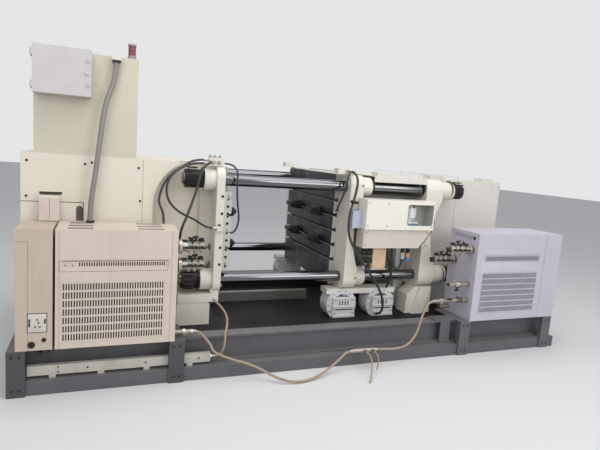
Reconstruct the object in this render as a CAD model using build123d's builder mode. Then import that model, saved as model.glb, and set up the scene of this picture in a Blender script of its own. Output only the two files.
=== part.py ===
# Horizontal four-bar die spotting press on a steel skid, with two temperature-control units.
# Origin: middle of the footprint, on the floor. +X runs from the operator tower to the ram end,
# -Y is the operator side and +Z is up. Lengths are in millimetres.
import os
from math import pi, radians, sin, sqrt, tan

from build123d import *

os.makedirs("parts", exist_ok=True)

# Skid
skid_length = 4500
front_margin = 480
back_margin = 300
channel_height = 95
channel_width = 64
channel_wall = 9
beam_height = 195
beam_width = 110
beam_flange = 14
beam_web = 12
cross_beam_width = 120
cross_beam_count = 5
cross_beam_pitch = 940
post_width = 102
post_thickness = 16
post_flange = 10
post_depth = 44
arm_thickness = 10
right_post_inset = 1058
back_post_inset = 1213
back_post_depth = 12
post_head = 200
left_middle_arm = 320
inner_post = 1018
rail_height = 64
rail_depth = 34
rail_length = 1150
rail_joint = 6
rail_lift = 20
rail_foot = 40
rail_foot_count = 4

# Tie bars
bar_diameter = 90
bar_spacing_y = 1300
bar_spacing_z = 773
bar_low = 605
bar_overhang = 18
bar_fit = 0.3
nut_diameter = 138
nut_length = 138
rear_nut_length = 106
nut_slot = 12
sleeve_diameter = 122
sleeve_gap = 7

# Platens, placed from the skid's ends
platen_side = 100
plate_thickness = 56
plate_half_height = 480
plate_gap = 2
bush_diameter = 165
fixed_casting = 1380
fixed_bush_length = 150
fixed_web = 40
fixed_back_web = 60
die_opening = 938
moving_body = 120
ram_boss = 40
moving_waist = 60
moving_bush_length = 215
rear_platen_inset = 1320
rear_platen_thickness = 170
rear_bush_length = 315
rear_bush_diameter = 160
rear_waist = 85
slot_count = 5
slot_pitch = 129
slot_neck = 22
slot_head = 38
slot_head_depth = 16
slot_depth = 36
centre_hole = 150
top_block = (120, 80, 62)
lug_step = 6
lug_drop = 68

# Bed
bed_top = 262
bed_gap = 20
bed_right_inset = 250
bed_left_inset = 60
tray_depth = 70
tray_side = 90
tray_end = 20
strip_width = 60
strip_height = 86
strip_length = 1050
foot_length = 250
foot_depth = 150
foot_waist = 10
foot_block = 65
foot_groove = 13
brace_reach = 92
brace_drop = 70
brace_thickness = 30
strut_width = 112
strut_slant = 72

# Ram and covers
ram_diameter = 180
ram_fit = 1
ram_tail = 520
ram_end_gap = 20
cover_side = 225
cover_inset = 288
guard_reach = 525
guard_drop = 588
guard_wall = 6
cover_top = 1480
bar_cover_drop = 50
column_width = 98
column_depth = 60
pad_height = 30
pad_depth = 110
pad_length = 151
pad_inset = 23
cover_pads = (20, 620)

# Tower end
housing_inset = 32
housing_length = 759
housing_top = 1500
seam_width = 4
seam_depth = 3
seam_height = 1179
neck_side = 130
collar_radius = 352
tower_inset = 107
tower_width = 635
tower_top = 2165
tower_depth = 620
lever_box_inset = 115
lever_box_size = (119, 60, 163)
lever_slot = (120, 10)
sight_inset = 332
sight_width = 43
sight_height = 83
sight_depth = 14
control_box_inset = 7
control_box_width = 336
control_box_height = 290
control_box_depth = 118
control_box_wall = 3
door_thickness = 14
door_gap = 2
hinge_diameter = 16
hinge_pin = 8
hinge_length = 40
hinge_fit = 0.05
hinge_lap = 3
lock_diameter = 26
lock_height = 8
beacon_diameter = 58
beacon_from_edge = 37
beacon_inset = 170
beacon_base_height = 44
beacon_lens_height = 66
beacon_cap_height = 12

# Temperature-control units
left_unit_inset = 268
left_unit_width = 731
left_unit_height = 757
left_unit_depth = 335
module_width = 204
module_gap = 14
panel_border = 40
strip_drop = 150
right_unit_inset = 1020
right_unit_width = 945
right_unit_height = 762
right_unit_depth = 370
louvre_count = 7
louvre_pitch = 57
louvre_height = 34
louvre_width = 600
louvre_inset = 60
louvre_top = 255
louvre_depth = 6

# What rides on the moving platen
shoe_length = 284
shoe_depth = 130
shoe_pitch = 378
shoe_fit = 0.3
shoe_base = 68
shoe_slot = 6
flange_thickness = 12
flange_radius = 138
shoe_front = (208, 174, 30)
shoe_front_offset = 17
carriage_height = 44
oil_box_offset = 138
oil_box_width = 660
oil_box_bottom = 1050
oil_box_height = 246
oil_box_depth = 140
oil_box_wall = 4
window_left = 390
window_width = 257
window_height = 177
window_lift = 38
window_corner = 24
pump_diameter = 84
pump_height = 120
valve_box_height = 158
valve_box_depth = 120
valve_box_width = 630
corner_width = 92
corner_height = 109
bracket_reach = 72
bracket_thickness = 12
bracket_height = 150
side_panel = (92, 80, 140)
valve_plate = (126, 40, 182)
valve_body_diameter = 44
top_bracket = (160, 80, 47)

# Die clamps
clamp_length = 150
clamp_width = 60
clamp_height = 78
clamp_nose = 34
moving_clamp_reach = 260
fixed_clamp_reach = 500
clamp_bolt = 20

# Valves and fittings on the units
manifold_side = 46
stub_diameter = 40
stub_length = 40
lever_stem = 12
lever_wing = (46, 10, 14)
lever_rise = 20
fitting_diameter = 34
left_manifold_y = -850
right_manifold_y = -965
manifold_step = 205
manifold_high = 915
manifold_low = 785
left_manifold_length = 170
right_manifold_length = 190
left_fitting_length = 121
left_fitting_place = (-960, 334)
right_fitting_length = 322
right_fitting_place = (-975, 475)
cock_inset = 110
cock_rise = 140
cock_pipe = 12
coupling_x = (110, 280)
coupling_place = (-1075, 138)
tail_x = (200, 266)
tail_boss = 22
hose_gland = (40, 40, 40)
hose_gland_inset = 55
hose_gland_reach = 22
hose_gland_height = 1020
conduit_gland = (60, 70, 30)
conduit_inset = 493
oil_boss_length = 62
oil_boss_diameter = 24
oil_boss_inset = 518
oil_boss_reach = 70
oil_boss_rise = 26

# Hoses and cables, from end to end
hose_sides = 8
conduit_diameter = 34
hose_diameter = 16
clamp_cable_diameter = 14
carriage_hose_diameter = 20
bed_hose_diameter = 16
tan_hose_diameter = 18
tail_diameter = 12
short_tail_diameter = 10
oil_line_diameter = 7
tower_conduit = [
    (-1650, -700, 2135),
    (-1650, -700, 2030),
    (-1716, -722, 1850),
    (-1744, -730, 1600),
    (-1768, -730, 1380),
    (-1797, -725, 1180),
    (-1797, -725, 1057),
]
upper_black_hose = [
    (-990, -560, 1522),
    (-1080, -560, 1522),
    (-1175, -630, 1475),
    (-1257, -675, 1422),
    (-1316, -697, 1349),
    (-1346, -707, 1271),
    (-1354, -714, 1201),
    (-1316, -725, 1130),
    (-1316, -725, 1057),
]
lower_black_hose = [
    (-990, -580, 1496),
    (-1070, -580, 1496),
    (-1157, -650, 1477),
    (-1247, -702, 1431),
    (-1295, -722, 1366),
    (-1307, -728, 1296),
    (-1291, -728, 1226),
    (-1247, -722, 1170),
    (-1180, -712, 1123),
    (-1098, -696, 1090),
    (-995, -682, 1020),
    (-925, -682, 1020),
]
clamp_cable = [
    (-870, -580, 1503),
    (-824, -580, 1503),
    (-786, -606, 1480),
    (-772, -638, 1438),
    (-780, -652, 1370),
    (-776, -656, 1295),
    (-770, -652, 1227),
    (-752, -642, 1130),
    (-746, -630, 1070),
    (-756, -614, 1012),
    (-780, -606, 974),
    (-814, -606, 974),
]
carriage_hose = [
    (190, -600, 1504),
    (190, -655, 1504),
    (199, -704, 1477),
    (203, -730, 1423),
    (182, -742, 1321),
    (156, -752, 1240),
    (133, -762, 1159),
    (128, -768, 1070),
    (145, -775, 965),
    (207, -780, 866),
    (295, -784, 749),
    (377, -782, 654),
    (458, -778, 551),
    (513, -768, 454),
    (528, -765, 352),
    (516, -720, 292),
    (516, -655, 292),
]
bed_tan_hose = [
    (-906, -635, 456),
    (-906, -690, 456),
    (-875, -745, 434),
    (-852, -800, 400),
    (-851, -860, 374),
    (-866, -925, 344),
    (-892, -982, 310),
    (-893, -1000, 262),
    (-902, -1006, 208),
    (-917, -994, 168),
    (-946, -979, 148),
    (-992, -979, 148),
]
front_tan_hose = [
    (-1130, -960, 334),
    (-1088, -960, 334),
    (-1056, -974, 316),
    (-1030, -998, 284),
    (-1000, -1022, 250),
    (-986, -1047, 209),
    (-925, -1065, 179),
    (-841, -1080, 148),
    (-750, -1095, 122),
    (-663, -1120, 87),
    (-587, -1170, 51),
    (-509, -1222, 27),
    (-409, -1240, 12),
    (-301, -1222, 13),
    (-197, -1180, 26),
    (-95, -1130, 57),
    (0, -1094, 104),
    (52, -1075, 138),
    (110, -1075, 138),
]
right_tan_hose = [
    (908, -975, 475),
    (850, -975, 475),
    (798, -992, 430),
    (752, -1012, 347),
    (717, -1034, 270),
    (676, -1050, 202),
    (607, -1062, 143),
    (510, -1070, 124),
    (399, -1075, 130),
    (337, -1075, 138),
    (280, -1075, 138),
]
long_drain_tail = [
    (200, -1126, 138),
    (200, -1164, 138),
    (202, -1200, 108),
    (186, -1240, 62),
    (154, -1296, 20),
    (112, -1352, 7),
]
short_drain_tail = [
    (266, -1126, 138),
    (266, -1158, 138),
    (270, -1184, 112),
    (268, -1192, 66),
    (254, -1198, 22),
]
oil_line = [
    (922, -742, 1172),
    (950, -742, 1172),
    (968, -748, 1148),
    (970, -755, 1106),
    (954, -760, 1054),
    (926, -760, 1008),
    (900, -752, 962),
    (880, -742, 918),
    (842, -742, 918),
]

# Worked-out places
skid_depth = front_margin + bar_spacing_y + back_margin
skid_left = -skid_length / 2
skid_right = skid_length / 2
skid_front = -skid_depth / 2
skid_back = skid_depth / 2
channel_front = skid_front + post_thickness
beam_front = channel_front + channel_width
beam_top = channel_height + beam_height
bed_front = beam_front + beam_width + bed_gap
bed_back = -bed_front
bed_left = skid_left + bed_left_inset
bed_right = skid_right - bed_right_inset
bar_front = skid_front + front_margin
bar_back = bar_front + bar_spacing_y
bar_high = bar_low + bar_spacing_z
machine_y = (bar_front + bar_back) / 2
machine_z = (bar_low + bar_high) / 2
half_y = bar_spacing_y / 2
half_z = bar_spacing_z / 2
platen_half_y = half_y + platen_side
platen_half_z = half_z + platen_side
platen_front = bar_front - platen_side
platen_bottom = bar_low - platen_side
platen_top = bar_high + platen_side
plate_half_y = half_y - bush_diameter / 2 - plate_gap
rib_half_z = half_z - bush_diameter / 2 - plate_gap
fixed_casting_x = skid_left + fixed_casting
fixed_face_x = fixed_casting_x + plate_thickness
fixed_nut_x = fixed_casting_x - fixed_bush_length
open_face_x = fixed_face_x + die_opening
moving_casting_x = open_face_x + plate_thickness
moving_back_x = moving_casting_x + moving_body
rear_platen_x = skid_right - rear_platen_inset
rear_bush_end = rear_platen_x + rear_bush_length
bar_left_end = fixed_nut_x - nut_length - bar_overhang
bar_right_end = rear_bush_end + rear_nut_length + bar_overhang
bar_bore = bar_diameter / 2 + bar_fit
housing_left = skid_left + housing_inset
housing_right = housing_left + housing_length
tower_left = skid_left + tower_inset
lever_box_x = housing_left + lever_box_inset
sight_x = housing_left + sight_inset
control_box_x = tower_left + control_box_inset
left_unit_x = skid_left + left_unit_inset
left_unit_right = left_unit_x + left_unit_width
right_unit_x = skid_right - right_unit_inset
unit_floor = beam_top + arm_thickness
carriage_left = open_face_x - bracket_reach


def save(part, name):
    """Label the piece and write it to its own file."""
    part.label = name
    export_step(part, "parts/" + name + ".step")


def across(x):
    """Plane square to the machine's length at x, seen from the ram end: local x is +Y, local y is +Z."""
    return Plane(origin=(x, machine_y, machine_z), x_dir=(0, 1, 0), z_dir=(1, 0, 0))


def upright(y):
    """Plane of the machine's front at y: local x is +X, local y is +Z, and it faces the operator."""
    return Plane(origin=(0, y, 0), x_dir=(1, 0, 0), z_dir=(0, -1, 0))


def block(x, y, z, mode=Mode.ADD):
    """Box from its three ranges, each a pair of ends."""
    with Locations(((x[0] + x[1]) / 2, (y[0] + y[1]) / 2, (z[0] + z[1]) / 2)):
        Box(x[1] - x[0], y[1] - y[0], z[1] - z[0], mode=mode)


def round_bar(x, y, z, diameter, mode=Mode.ADD):
    """Round bar along the machine's length, from x[0] to x[1]."""
    with Locations(((x[0] + x[1]) / 2, y, z)):
        Cylinder(diameter / 2, x[1] - x[0], rotation=(0, 90, 0), mode=mode)


corners = [(dy, dz) for dy in (-half_y, half_y) for dz in (-half_z, half_z)]


# Skid: two low channels, cross beams between them and two wide-flange beams on top
with BuildPart() as channels:
    with BuildSketch(Plane.YZ.offset(skid_left)):
        for web, facing in ((channel_front, 1), (skid_back, -1)):
            with Locations((web + facing * channel_width / 2, channel_height / 2)):
                Rectangle(channel_width, channel_height)
            with Locations((web + facing * (channel_width + channel_wall) / 2, channel_height / 2)):
                Rectangle(channel_width - channel_wall, channel_height - 2 * channel_wall, mode=Mode.SUBTRACT)
    extrude(amount=skid_length)
save(channels.part, "skid_channels")

with BuildPart() as beams:
    with BuildSketch(Plane.YZ.offset(skid_left)):
        for beam_y in (beam_front + beam_width / 2, -beam_front - beam_width / 2):
            pocket_y = (beam_width + beam_web) / 4
            with Locations((beam_y, channel_height + beam_height / 2)):
                Rectangle(beam_width, beam_height)
                with Locations((-pocket_y, 0), (pocket_y, 0)):
                    Rectangle((beam_width - beam_web) / 2, beam_height - 2 * beam_flange, mode=Mode.SUBTRACT)
    extrude(amount=skid_length)
save(beams.part, "skid_beams")

with BuildPart() as cross_beams:
    beam_span = skid_back - channel_width - beam_front
    with Locations((0, (beam_front + skid_back - channel_width) / 2, channel_height / 2)):
        with GridLocations(cross_beam_pitch, 1, cross_beam_count, 1):
            Box(cross_beam_width, beam_span, channel_height)
save(cross_beams.part, "skid_cross_beams")


# Posts with arms that carry the two units
def unit_posts(post_xs, arm_xs, depth):
    """Flanged posts at the skid's face, and arms that run back from there over the beam."""
    for x in post_xs:
        left, right = x - post_width / 2, x + post_width / 2
        block((left, right), (skid_front, channel_front), (0, beam_top))
        for edge in (left, right - post_flange):
            block((edge, edge + post_flange), (channel_front, skid_front + post_depth),
                  (channel_height, beam_top))
    for x in arm_xs:
        block((x - post_width / 2, x + post_width / 2), (skid_front, skid_front + depth),
              (beam_top, unit_floor))


left_posts = [skid_left + post_width / 2, skid_left + inner_post]
with BuildPart() as left_unit_posts:
    unit_posts(left_posts, left_posts + [skid_left + left_middle_arm], left_unit_depth)
save(left_unit_posts.part, "left_unit_posts")

right_posts = [skid_right - right_post_inset, right_unit_x + right_unit_width - post_width / 2]
with BuildPart() as right_unit_posts:
    unit_posts(right_posts, right_posts, right_unit_depth)
    back_post_x = skid_right - back_post_inset
    back_post_y = beam_front - back_post_depth
    block((back_post_x - post_width / 2, back_post_x + post_width / 2), (back_post_y, beam_front),
          (channel_height, beam_top))
    block((back_post_x - post_head / 2, right_posts[0] - post_width / 2),
          (back_post_y, beam_front + beam_width), (beam_top, unit_floor))
save(right_unit_posts.part, "right_unit_posts")

with BuildPart() as cable_rail:
    rail_left = skid_left + post_width + rail_joint
    rail_right = rail_left + rail_length
    rail_back = beam_front
    block((rail_left, rail_right), (rail_back - rail_depth, rail_back),
          (channel_height + rail_lift, channel_height + rail_lift + rail_height))
    rail_middle = (rail_left + rail_right) / 2
    with Locations((rail_middle, rail_back - rail_depth / 2, channel_height + rail_lift / 2)):
        with GridLocations(rail_length / rail_foot_count, 1, rail_foot_count, 1):
            Box(rail_foot, rail_depth, rail_lift)
save(cable_rail.part, "cable_rail")

# Bed with an oil tray between its two slideways
tray_left = fixed_casting_x + tray_end
tray_right = rear_platen_x - brace_reach - tray_end
with BuildPart() as machine_bed:
    block((bed_left, bed_right), (bed_front, bed_back), (channel_height, bed_top))
    block((tray_left, tray_right), (bar_front + tray_side, bar_back - tray_side),
          (bed_top - tray_depth, bed_top), mode=Mode.SUBTRACT)
save(machine_bed.part, "machine_bed")

with BuildPart() as bed_strip:
    strip_y = machine_y + tray_side
    block((tray_left, tray_left + strip_length), (strip_y - strip_width / 2, strip_y + strip_width / 2),
          (bed_top - tray_depth, bed_top - tray_depth + strip_height))
save(bed_strip.part, "bed_strip")

# Four tie bars, the upper two with a thicker sleeve behind the moving platen
with BuildPart() as tie_bars:
    with BuildSketch(across(bar_left_end)):
        with Locations(corners):
            Circle(bar_diameter / 2)
    extrude(amount=bar_right_end - bar_left_end)
    chamfer(tie_bars.edges().filter_by(GeomType.CIRCLE), bar_diameter / 20)
    sleeve_left = moving_casting_x + moving_bush_length + sleeve_gap
    with BuildSketch(across(sleeve_left)):
        with Locations([place for place in corners if place[1] > 0]):
            Circle(sleeve_diameter / 2)
    extrude(amount=rear_platen_x - sleeve_left)
save(tie_bars.part, "tie_bars")

# Slotted round nuts at both ends of the bars
with BuildPart() as bar_nuts:
    for nut_x, length in ((fixed_nut_x - nut_length, nut_length), (rear_bush_end, rear_nut_length)):
        with BuildSketch(across(nut_x)):
            with Locations(corners):
                Circle(nut_diameter / 2)
                Circle(bar_bore, mode=Mode.SUBTRACT)
                with PolarLocations(nut_diameter / 2, 6):
                    Rectangle(nut_slot, nut_slot, mode=Mode.SUBTRACT)
        extrude(amount=length)
save(bar_nuts.part, "bar_nuts")


# T-slots run across the machine in both die faces
def slot_plate(face_x, inward, half_width):
    """Die plate whose T-slots open at face_x and grow along inward, half_width wide between the bushes."""
    slot_rows = [machine_z + (i - (slot_count - 1) / 2) * slot_pitch for i in range(slot_count)]
    with BuildPart() as cutter:
        with BuildSketch(upright(platen_front)):
            with Locations([(face_x + inward * slot_depth / 2, z) for z in slot_rows]):
                Rectangle(slot_depth, slot_neck)
            with Locations([(face_x + inward * (slot_depth - slot_head_depth / 2), z) for z in slot_rows]):
                Rectangle(slot_head_depth, slot_head)
        extrude(amount=-2 * platen_half_y)
    with BuildPart() as plate:
        with BuildSketch(across(face_x)):
            Rectangle(2 * plate_half_y, 2 * plate_half_height)
            Rectangle(2 * half_width, 2 * rib_half_z)
        extrude(amount=inward * plate_thickness)
        add(cutter.part, mode=Mode.SUBTRACT)
    return plate.part


save(slot_plate(fixed_face_x, -1, platen_half_y), "stationary_slot_plate")
save(slot_plate(open_face_x, 1, plate_half_y), "moving_slot_plate")

# Stationary platen: web behind the die plate, ribs and four bushes
rib_half_y = plate_half_y - fixed_web / 4
fixed_web_x = fixed_casting_x - fixed_back_web
foot_right = fixed_web_x - foot_waist
with BuildPart() as stationary_platen:
    with BuildSketch(across(fixed_web_x)):
        RectangleRounded(2 * platen_half_y, 2 * platen_half_z, bush_diameter / 2)
    extrude(amount=fixed_back_web)
    with BuildSketch(across(fixed_nut_x)):
        Rectangle(2 * rib_half_y, 2 * rib_half_z)
        Rectangle(2 * rib_half_y - 2 * fixed_web, 2 * rib_half_z - 2 * fixed_web, mode=Mode.SUBTRACT)
        with GridLocations(2 * rib_half_y / 3, 1, 2, 1):
            Rectangle(fixed_web, 2 * rib_half_z)
        Rectangle(2 * rib_half_y, fixed_web)
        Circle(centre_hole)
    extrude(amount=fixed_web_x - fixed_nut_x)
    with BuildSketch(across(fixed_nut_x)):
        with Locations(corners):
            Circle(bush_diameter / 2)
    extrude(amount=fixed_bush_length)
    with BuildSketch(across(fixed_nut_x)):
        with Locations(corners):
            Circle(bar_bore)
    extrude(amount=fixed_bush_length, mode=Mode.SUBTRACT)
    for y in (bar_front, bar_back):
        block((foot_right, fixed_casting_x - lug_step), (y - foot_depth / 2, y + foot_depth / 2),
              (platen_bottom - lug_drop, platen_bottom + bush_diameter / 4))
save(stationary_platen.part, "stationary_platen")

with BuildPart() as hose_glands:
    block((fixed_casting_x - top_block[0], fixed_casting_x),
          (bar_front - top_block[1] / 2, bar_front + top_block[1] / 2),
          (platen_top, platen_top + top_block[2]))
    gland_x = fixed_casting_x - hose_gland_inset
    gland_front = platen_front - hose_gland_reach - hose_gland[1] / 2
    block((gland_x, gland_x + hose_gland[0]), (gland_front, platen_front),
          (hose_gland_height - hose_gland[2] / 2, hose_gland_height + hose_gland[2] / 2))
    conduit_x = tower_left + conduit_inset
    block((conduit_x - conduit_gland[0] / 2, conduit_x + conduit_gland[0] / 2),
          (platen_front - conduit_gland[1], platen_front), (tower_top - conduit_gland[2], tower_top))
save(hose_glands.part, "hose_glands")

with BuildPart() as platen_feet:
    foot_left = foot_right - foot_length
    for y in (bar_front, bar_back):
        near, far = y - foot_depth / 2, y + foot_depth / 2
        block((foot_left, foot_right), (near, far), (bed_top, platen_bottom - foot_block - foot_groove))
        block((foot_left + foot_waist, foot_right - foot_waist), (near + foot_waist, far - foot_waist),
              (bed_top, platen_bottom))
        block((foot_left + foot_waist / 2, foot_right), (near, far),
              (platen_bottom - foot_block, platen_bottom))
save(platen_feet.part, "stationary_platen_feet")

# Moving platen: waisted body, long bushes and the boss that takes the ram
with BuildPart() as moving_platen:
    with BuildSketch(across(moving_casting_x)):
        RectangleRounded(2 * platen_half_y, 2 * platen_half_z, bush_diameter / 2)
    extrude(amount=moving_body)
    with BuildSketch(upright(platen_front)):
        with BuildLine():
            top = (moving_back_x, machine_z + rib_half_z)
            waist = (moving_back_x - moving_waist, machine_z)
            bottom = (moving_back_x, machine_z - rib_half_z)
            ThreePointArc(top, waist, bottom)
            Line(bottom, top)
        make_face()
    extrude(amount=-2 * platen_half_y, mode=Mode.SUBTRACT)
    with BuildSketch(across(moving_casting_x)):
        Circle(ram_diameter / 2 + ram_boss)
    extrude(amount=moving_body)
    with BuildSketch(across(moving_casting_x)):
        with Locations(corners):
            Circle(bush_diameter / 2)
    extrude(amount=moving_bush_length)
    with BuildSketch(across(moving_casting_x)):
        with Locations(corners):
            Circle(bar_bore)
    extrude(amount=moving_bush_length, mode=Mode.SUBTRACT)
save(moving_platen.part, "moving_platen")

with BuildPart() as platen_brackets:
    bracket_right = moving_back_x - moving_waist
    for y in (bar_front, bar_back):
        block((bracket_right - top_bracket[0], bracket_right),
              (y - top_bracket[1] / 2, y + top_bracket[1] / 2), (platen_top, platen_top + top_bracket[2]))
save(platen_brackets.part, "platen_brackets")

with BuildPart() as ram:
    with BuildSketch(across(moving_back_x)):
        Circle(ram_diameter / 2)
    extrude(amount=rear_platen_x + rear_platen_thickness + ram_tail - moving_back_x)
save(ram.part, "ram")

# Rear platen with its bushes, a waist in the back of each side, and braced legs
rear_back_x = rear_platen_x + rear_platen_thickness
cover_half_y = half_y - cover_side + rear_bush_diameter / 2
with BuildPart() as rear_platen:
    with BuildSketch(across(rear_platen_x)):
        RectangleRounded(2 * platen_half_y, 2 * platen_half_z, platen_side)
    extrude(amount=rear_platen_thickness)
    for side, y in ((-1, platen_front), (1, machine_y + platen_half_y)):
        with BuildSketch(upright(y)):
            with BuildLine():
                top = (rear_back_x, machine_z + rib_half_z)
                waist = (rear_back_x - rear_waist, machine_z)
                bottom = (rear_back_x, machine_z - rib_half_z)
                ThreePointArc(top, waist, bottom)
                Line(bottom, top)
            make_face()
        extrude(amount=side * (platen_half_y - cover_half_y), mode=Mode.SUBTRACT)
    with BuildSketch(across(rear_platen_x)):
        with Locations(corners):
            Circle(rear_bush_diameter / 2)
    extrude(amount=rear_bush_length)
    with BuildSketch(across(rear_platen_x)):
        with Locations(corners):
            Circle(bar_bore)
    extrude(amount=rear_bush_length, mode=Mode.SUBTRACT)
    with BuildSketch(across(rear_platen_x)):
        Circle(ram_diameter / 2 + ram_fit)
    extrude(amount=rear_platen_thickness, mode=Mode.SUBTRACT)
save(rear_platen.part, "rear_platen")

with BuildPart() as rear_feet:
    for side, y in ((1, bar_front), (-1, bar_back)):
        with BuildSketch(upright(y - side * foot_depth / 2)):
            Polygon(
                (rear_platen_x - brace_reach, bed_top),
                (rear_back_x, bed_top),
                (rear_back_x, platen_bottom),
                (rear_platen_x, platen_bottom),
                (rear_platen_x - brace_reach + foot_waist, platen_bottom - brace_drop),
                align=None,
            )
        extrude(amount=-side * foot_depth)
        with BuildSketch(upright(y - side * foot_depth / 2)):
            Polygon(
                (rear_platen_x - strut_slant / 2, bed_top),
                (rear_platen_x - strut_slant / 2 + strut_width, bed_top),
                (rear_platen_x + strut_slant / 2 + strut_width, platen_bottom),
                (rear_platen_x + strut_slant / 2, platen_bottom),
                align=None,
            )
        extrude(amount=side * brace_thickness)
save(rear_feet.part, "rear_platen_feet")

# Cylinder cover behind the rear platen, and the guard over the ram with its bar cover
cover_front = machine_y - cover_half_y
with BuildPart() as cylinder_cover:
    block((rear_back_x, skid_right - cover_inset), (cover_front, machine_y + cover_half_y),
          (bed_top, cover_top))
    with BuildSketch(across(rear_back_x)):
        Circle(ram_diameter / 2 + ram_fit)
    extrude(amount=ram_tail + ram_end_gap, mode=Mode.SUBTRACT)
    for offset in cover_pads:
        block((rear_back_x + offset, rear_back_x + offset + pad_length),
              (cover_front, cover_front + pad_depth), (cover_top, cover_top + pad_height))
save(cylinder_cover.part, "cylinder_cover")

guard_left = rear_platen_x - guard_reach
guard_bottom = platen_top - guard_drop
with BuildPart() as ram_guard:
    block((guard_left, rear_platen_x), (cover_front, machine_y + cover_half_y), (guard_bottom, cover_top))
    block((guard_left, rear_platen_x),
          (cover_front + guard_wall, machine_y + cover_half_y - guard_wall),
          (guard_bottom, cover_top - guard_wall), mode=Mode.SUBTRACT)
    bar_cover_front = bar_front - bush_diameter / 2
    bar_cover_back = bar_back + bush_diameter / 2
    bar_cover_bottom = cover_top - bar_cover_drop
    block((guard_left, rear_platen_x), (bar_cover_front, bar_cover_back), (cover_top - guard_wall, cover_top))
    for y in (bar_cover_front, bar_cover_back - guard_wall):
        block((guard_left, rear_platen_x), (y, y + guard_wall), (bar_cover_bottom, cover_top))
    block((guard_left + pad_inset, guard_left + pad_inset + pad_length),
          (bar_cover_front, bar_cover_front + pad_depth), (cover_top - guard_wall, cover_top + pad_height))
    for y in (cover_front, cover_front + 2 * cover_half_y - column_depth):
        block((rear_platen_x - column_width, rear_platen_x), (y, y + column_depth),
              (bed_top, guard_bottom + guard_wall))
save(ram_guard.part, "ram_guard")

# Tower end: housing, neck with its round recess, tower, control box and beacon
lever_box_right = lever_box_x + lever_box_size[0]
lever_box_top = lever_box_size[2] + unit_floor + left_unit_height + foot_waist / 2
with BuildPart() as housing:
    block((housing_left, housing_right), (platen_front, bed_back), (bed_top, housing_top))
    seam_y = (platen_front, platen_front + seam_depth)
    block((housing_left, lever_box_x), seam_y, (seam_height, seam_height + seam_width), mode=Mode.SUBTRACT)
    block((lever_box_right, sight_x + sight_width), seam_y, (seam_height, seam_height + seam_width),
          mode=Mode.SUBTRACT)
    block((sight_x + sight_width, sight_x + sight_width + seam_width), seam_y,
          (unit_floor, seam_height + seam_width), mode=Mode.SUBTRACT)
    block((lever_box_x, lever_box_x + lever_slot[0]), (platen_front, platen_front + sight_depth),
          (lever_box_top, lever_box_top + lever_slot[1]), mode=Mode.SUBTRACT)
    with BuildSketch(upright(platen_front)):
        with Locations((sight_x + sight_width / 2, seam_height - sight_height)):
            Rectangle(sight_width, sight_height)
        with Locations((sight_x + sight_width / 2, seam_height - sight_height / 2)):
            Circle(sight_width / 2)
    extrude(amount=-sight_depth, mode=Mode.SUBTRACT)
save(housing.part, "drive_housing")

with BuildPart() as lever_box:
    block((lever_box_x, lever_box_right), (platen_front - lever_box_size[1], platen_front),
          (lever_box_top - lever_box_size[2], lever_box_top))
    lid_edge = lever_box.edges().filter_by(Axis.X).sort_by(Axis.Z)[-2:].sort_by(Axis.Y)[0]
    chamfer(lid_edge, lever_box_size[1] / 5)
save(lever_box.part, "lever_box")

neck_half_y = half_y - neck_side
collar_x = fixed_nut_x - seam_width * 4
collar_z = housing_top - collar_radius + seam_width * 6
with BuildPart() as neck:
    block((housing_right, fixed_nut_x), (machine_y - neck_half_y, machine_y + neck_half_y),
          (bed_top, housing_top))
    with BuildSketch(upright(platen_front)):
        Polygon(
            (housing_right, bed_top),
            (collar_x - collar_radius, bed_top),
            (collar_x - collar_radius, collar_z),
            (collar_x - collar_radius / 2, collar_z),
            (collar_x - collar_radius / 2, housing_top),
            (housing_right, housing_top),
            align=None,
        )
        with Locations((collar_x, collar_z)):
            Circle(collar_radius, mode=Mode.SUBTRACT)
    extrude(amount=platen_front - bed_back)
save(neck.part, "housing_neck")

with BuildPart() as tower:
    block((tower_left, tower_left + tower_width), (platen_front, platen_front + tower_depth),
          (housing_top, tower_top))
save(tower.part, "tower")

box_x = control_box_x + control_box_width / 2
box_z = tower_top - control_box_height / 2
box_front = platen_front - control_box_depth
door_y = box_front - door_gap - door_thickness / 2
hinge_x = control_box_x - hinge_diameter / 2 + hinge_lap
hinge_zs = (box_z - control_box_height / 3, box_z + control_box_height / 3)
with BuildPart() as control_box:
    with Locations((box_x, platen_front - control_box_depth / 2, box_z)):
        Box(control_box_width, control_box_depth, control_box_height)
    with Locations((box_x, platen_front - control_box_depth / 2 - control_box_wall, box_z)):
        Box(control_box_width - 2 * control_box_wall, control_box_depth,
            control_box_height - 2 * control_box_wall, mode=Mode.SUBTRACT)
    for z in hinge_zs:
        with Locations((hinge_x, (door_y + platen_front) / 2, z - hinge_length / 2 - hinge_pin / 2)):
            Box(hinge_diameter - 2 * hinge_lap, platen_front - door_y, hinge_pin)
        with Locations((hinge_x, door_y, z)):
            Cylinder(hinge_pin / 2, hinge_length)
save(control_box.part, "control_box")

with BuildPart() as control_door:
    with Locations((box_x, door_y, box_z)):
        Box(control_box_width, door_thickness, control_box_height)
    with Locations([(hinge_x, door_y, z) for z in hinge_zs]):
        Cylinder(hinge_diameter / 2, hinge_length - 2 * hinge_fit)
    with Locations([(hinge_x, door_y, z) for z in hinge_zs]):
        Cylinder(hinge_pin / 2 + hinge_fit, hinge_length, mode=Mode.SUBTRACT)
    with Locations((box_x + control_box_width / 2 - lock_diameter,
                    door_y - door_thickness / 2 - lock_height / 2, box_z)):
        Cylinder(lock_diameter / 2, lock_height, rotation=(90, 0, 0))
save(control_door.part, "control_box_door")

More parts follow.
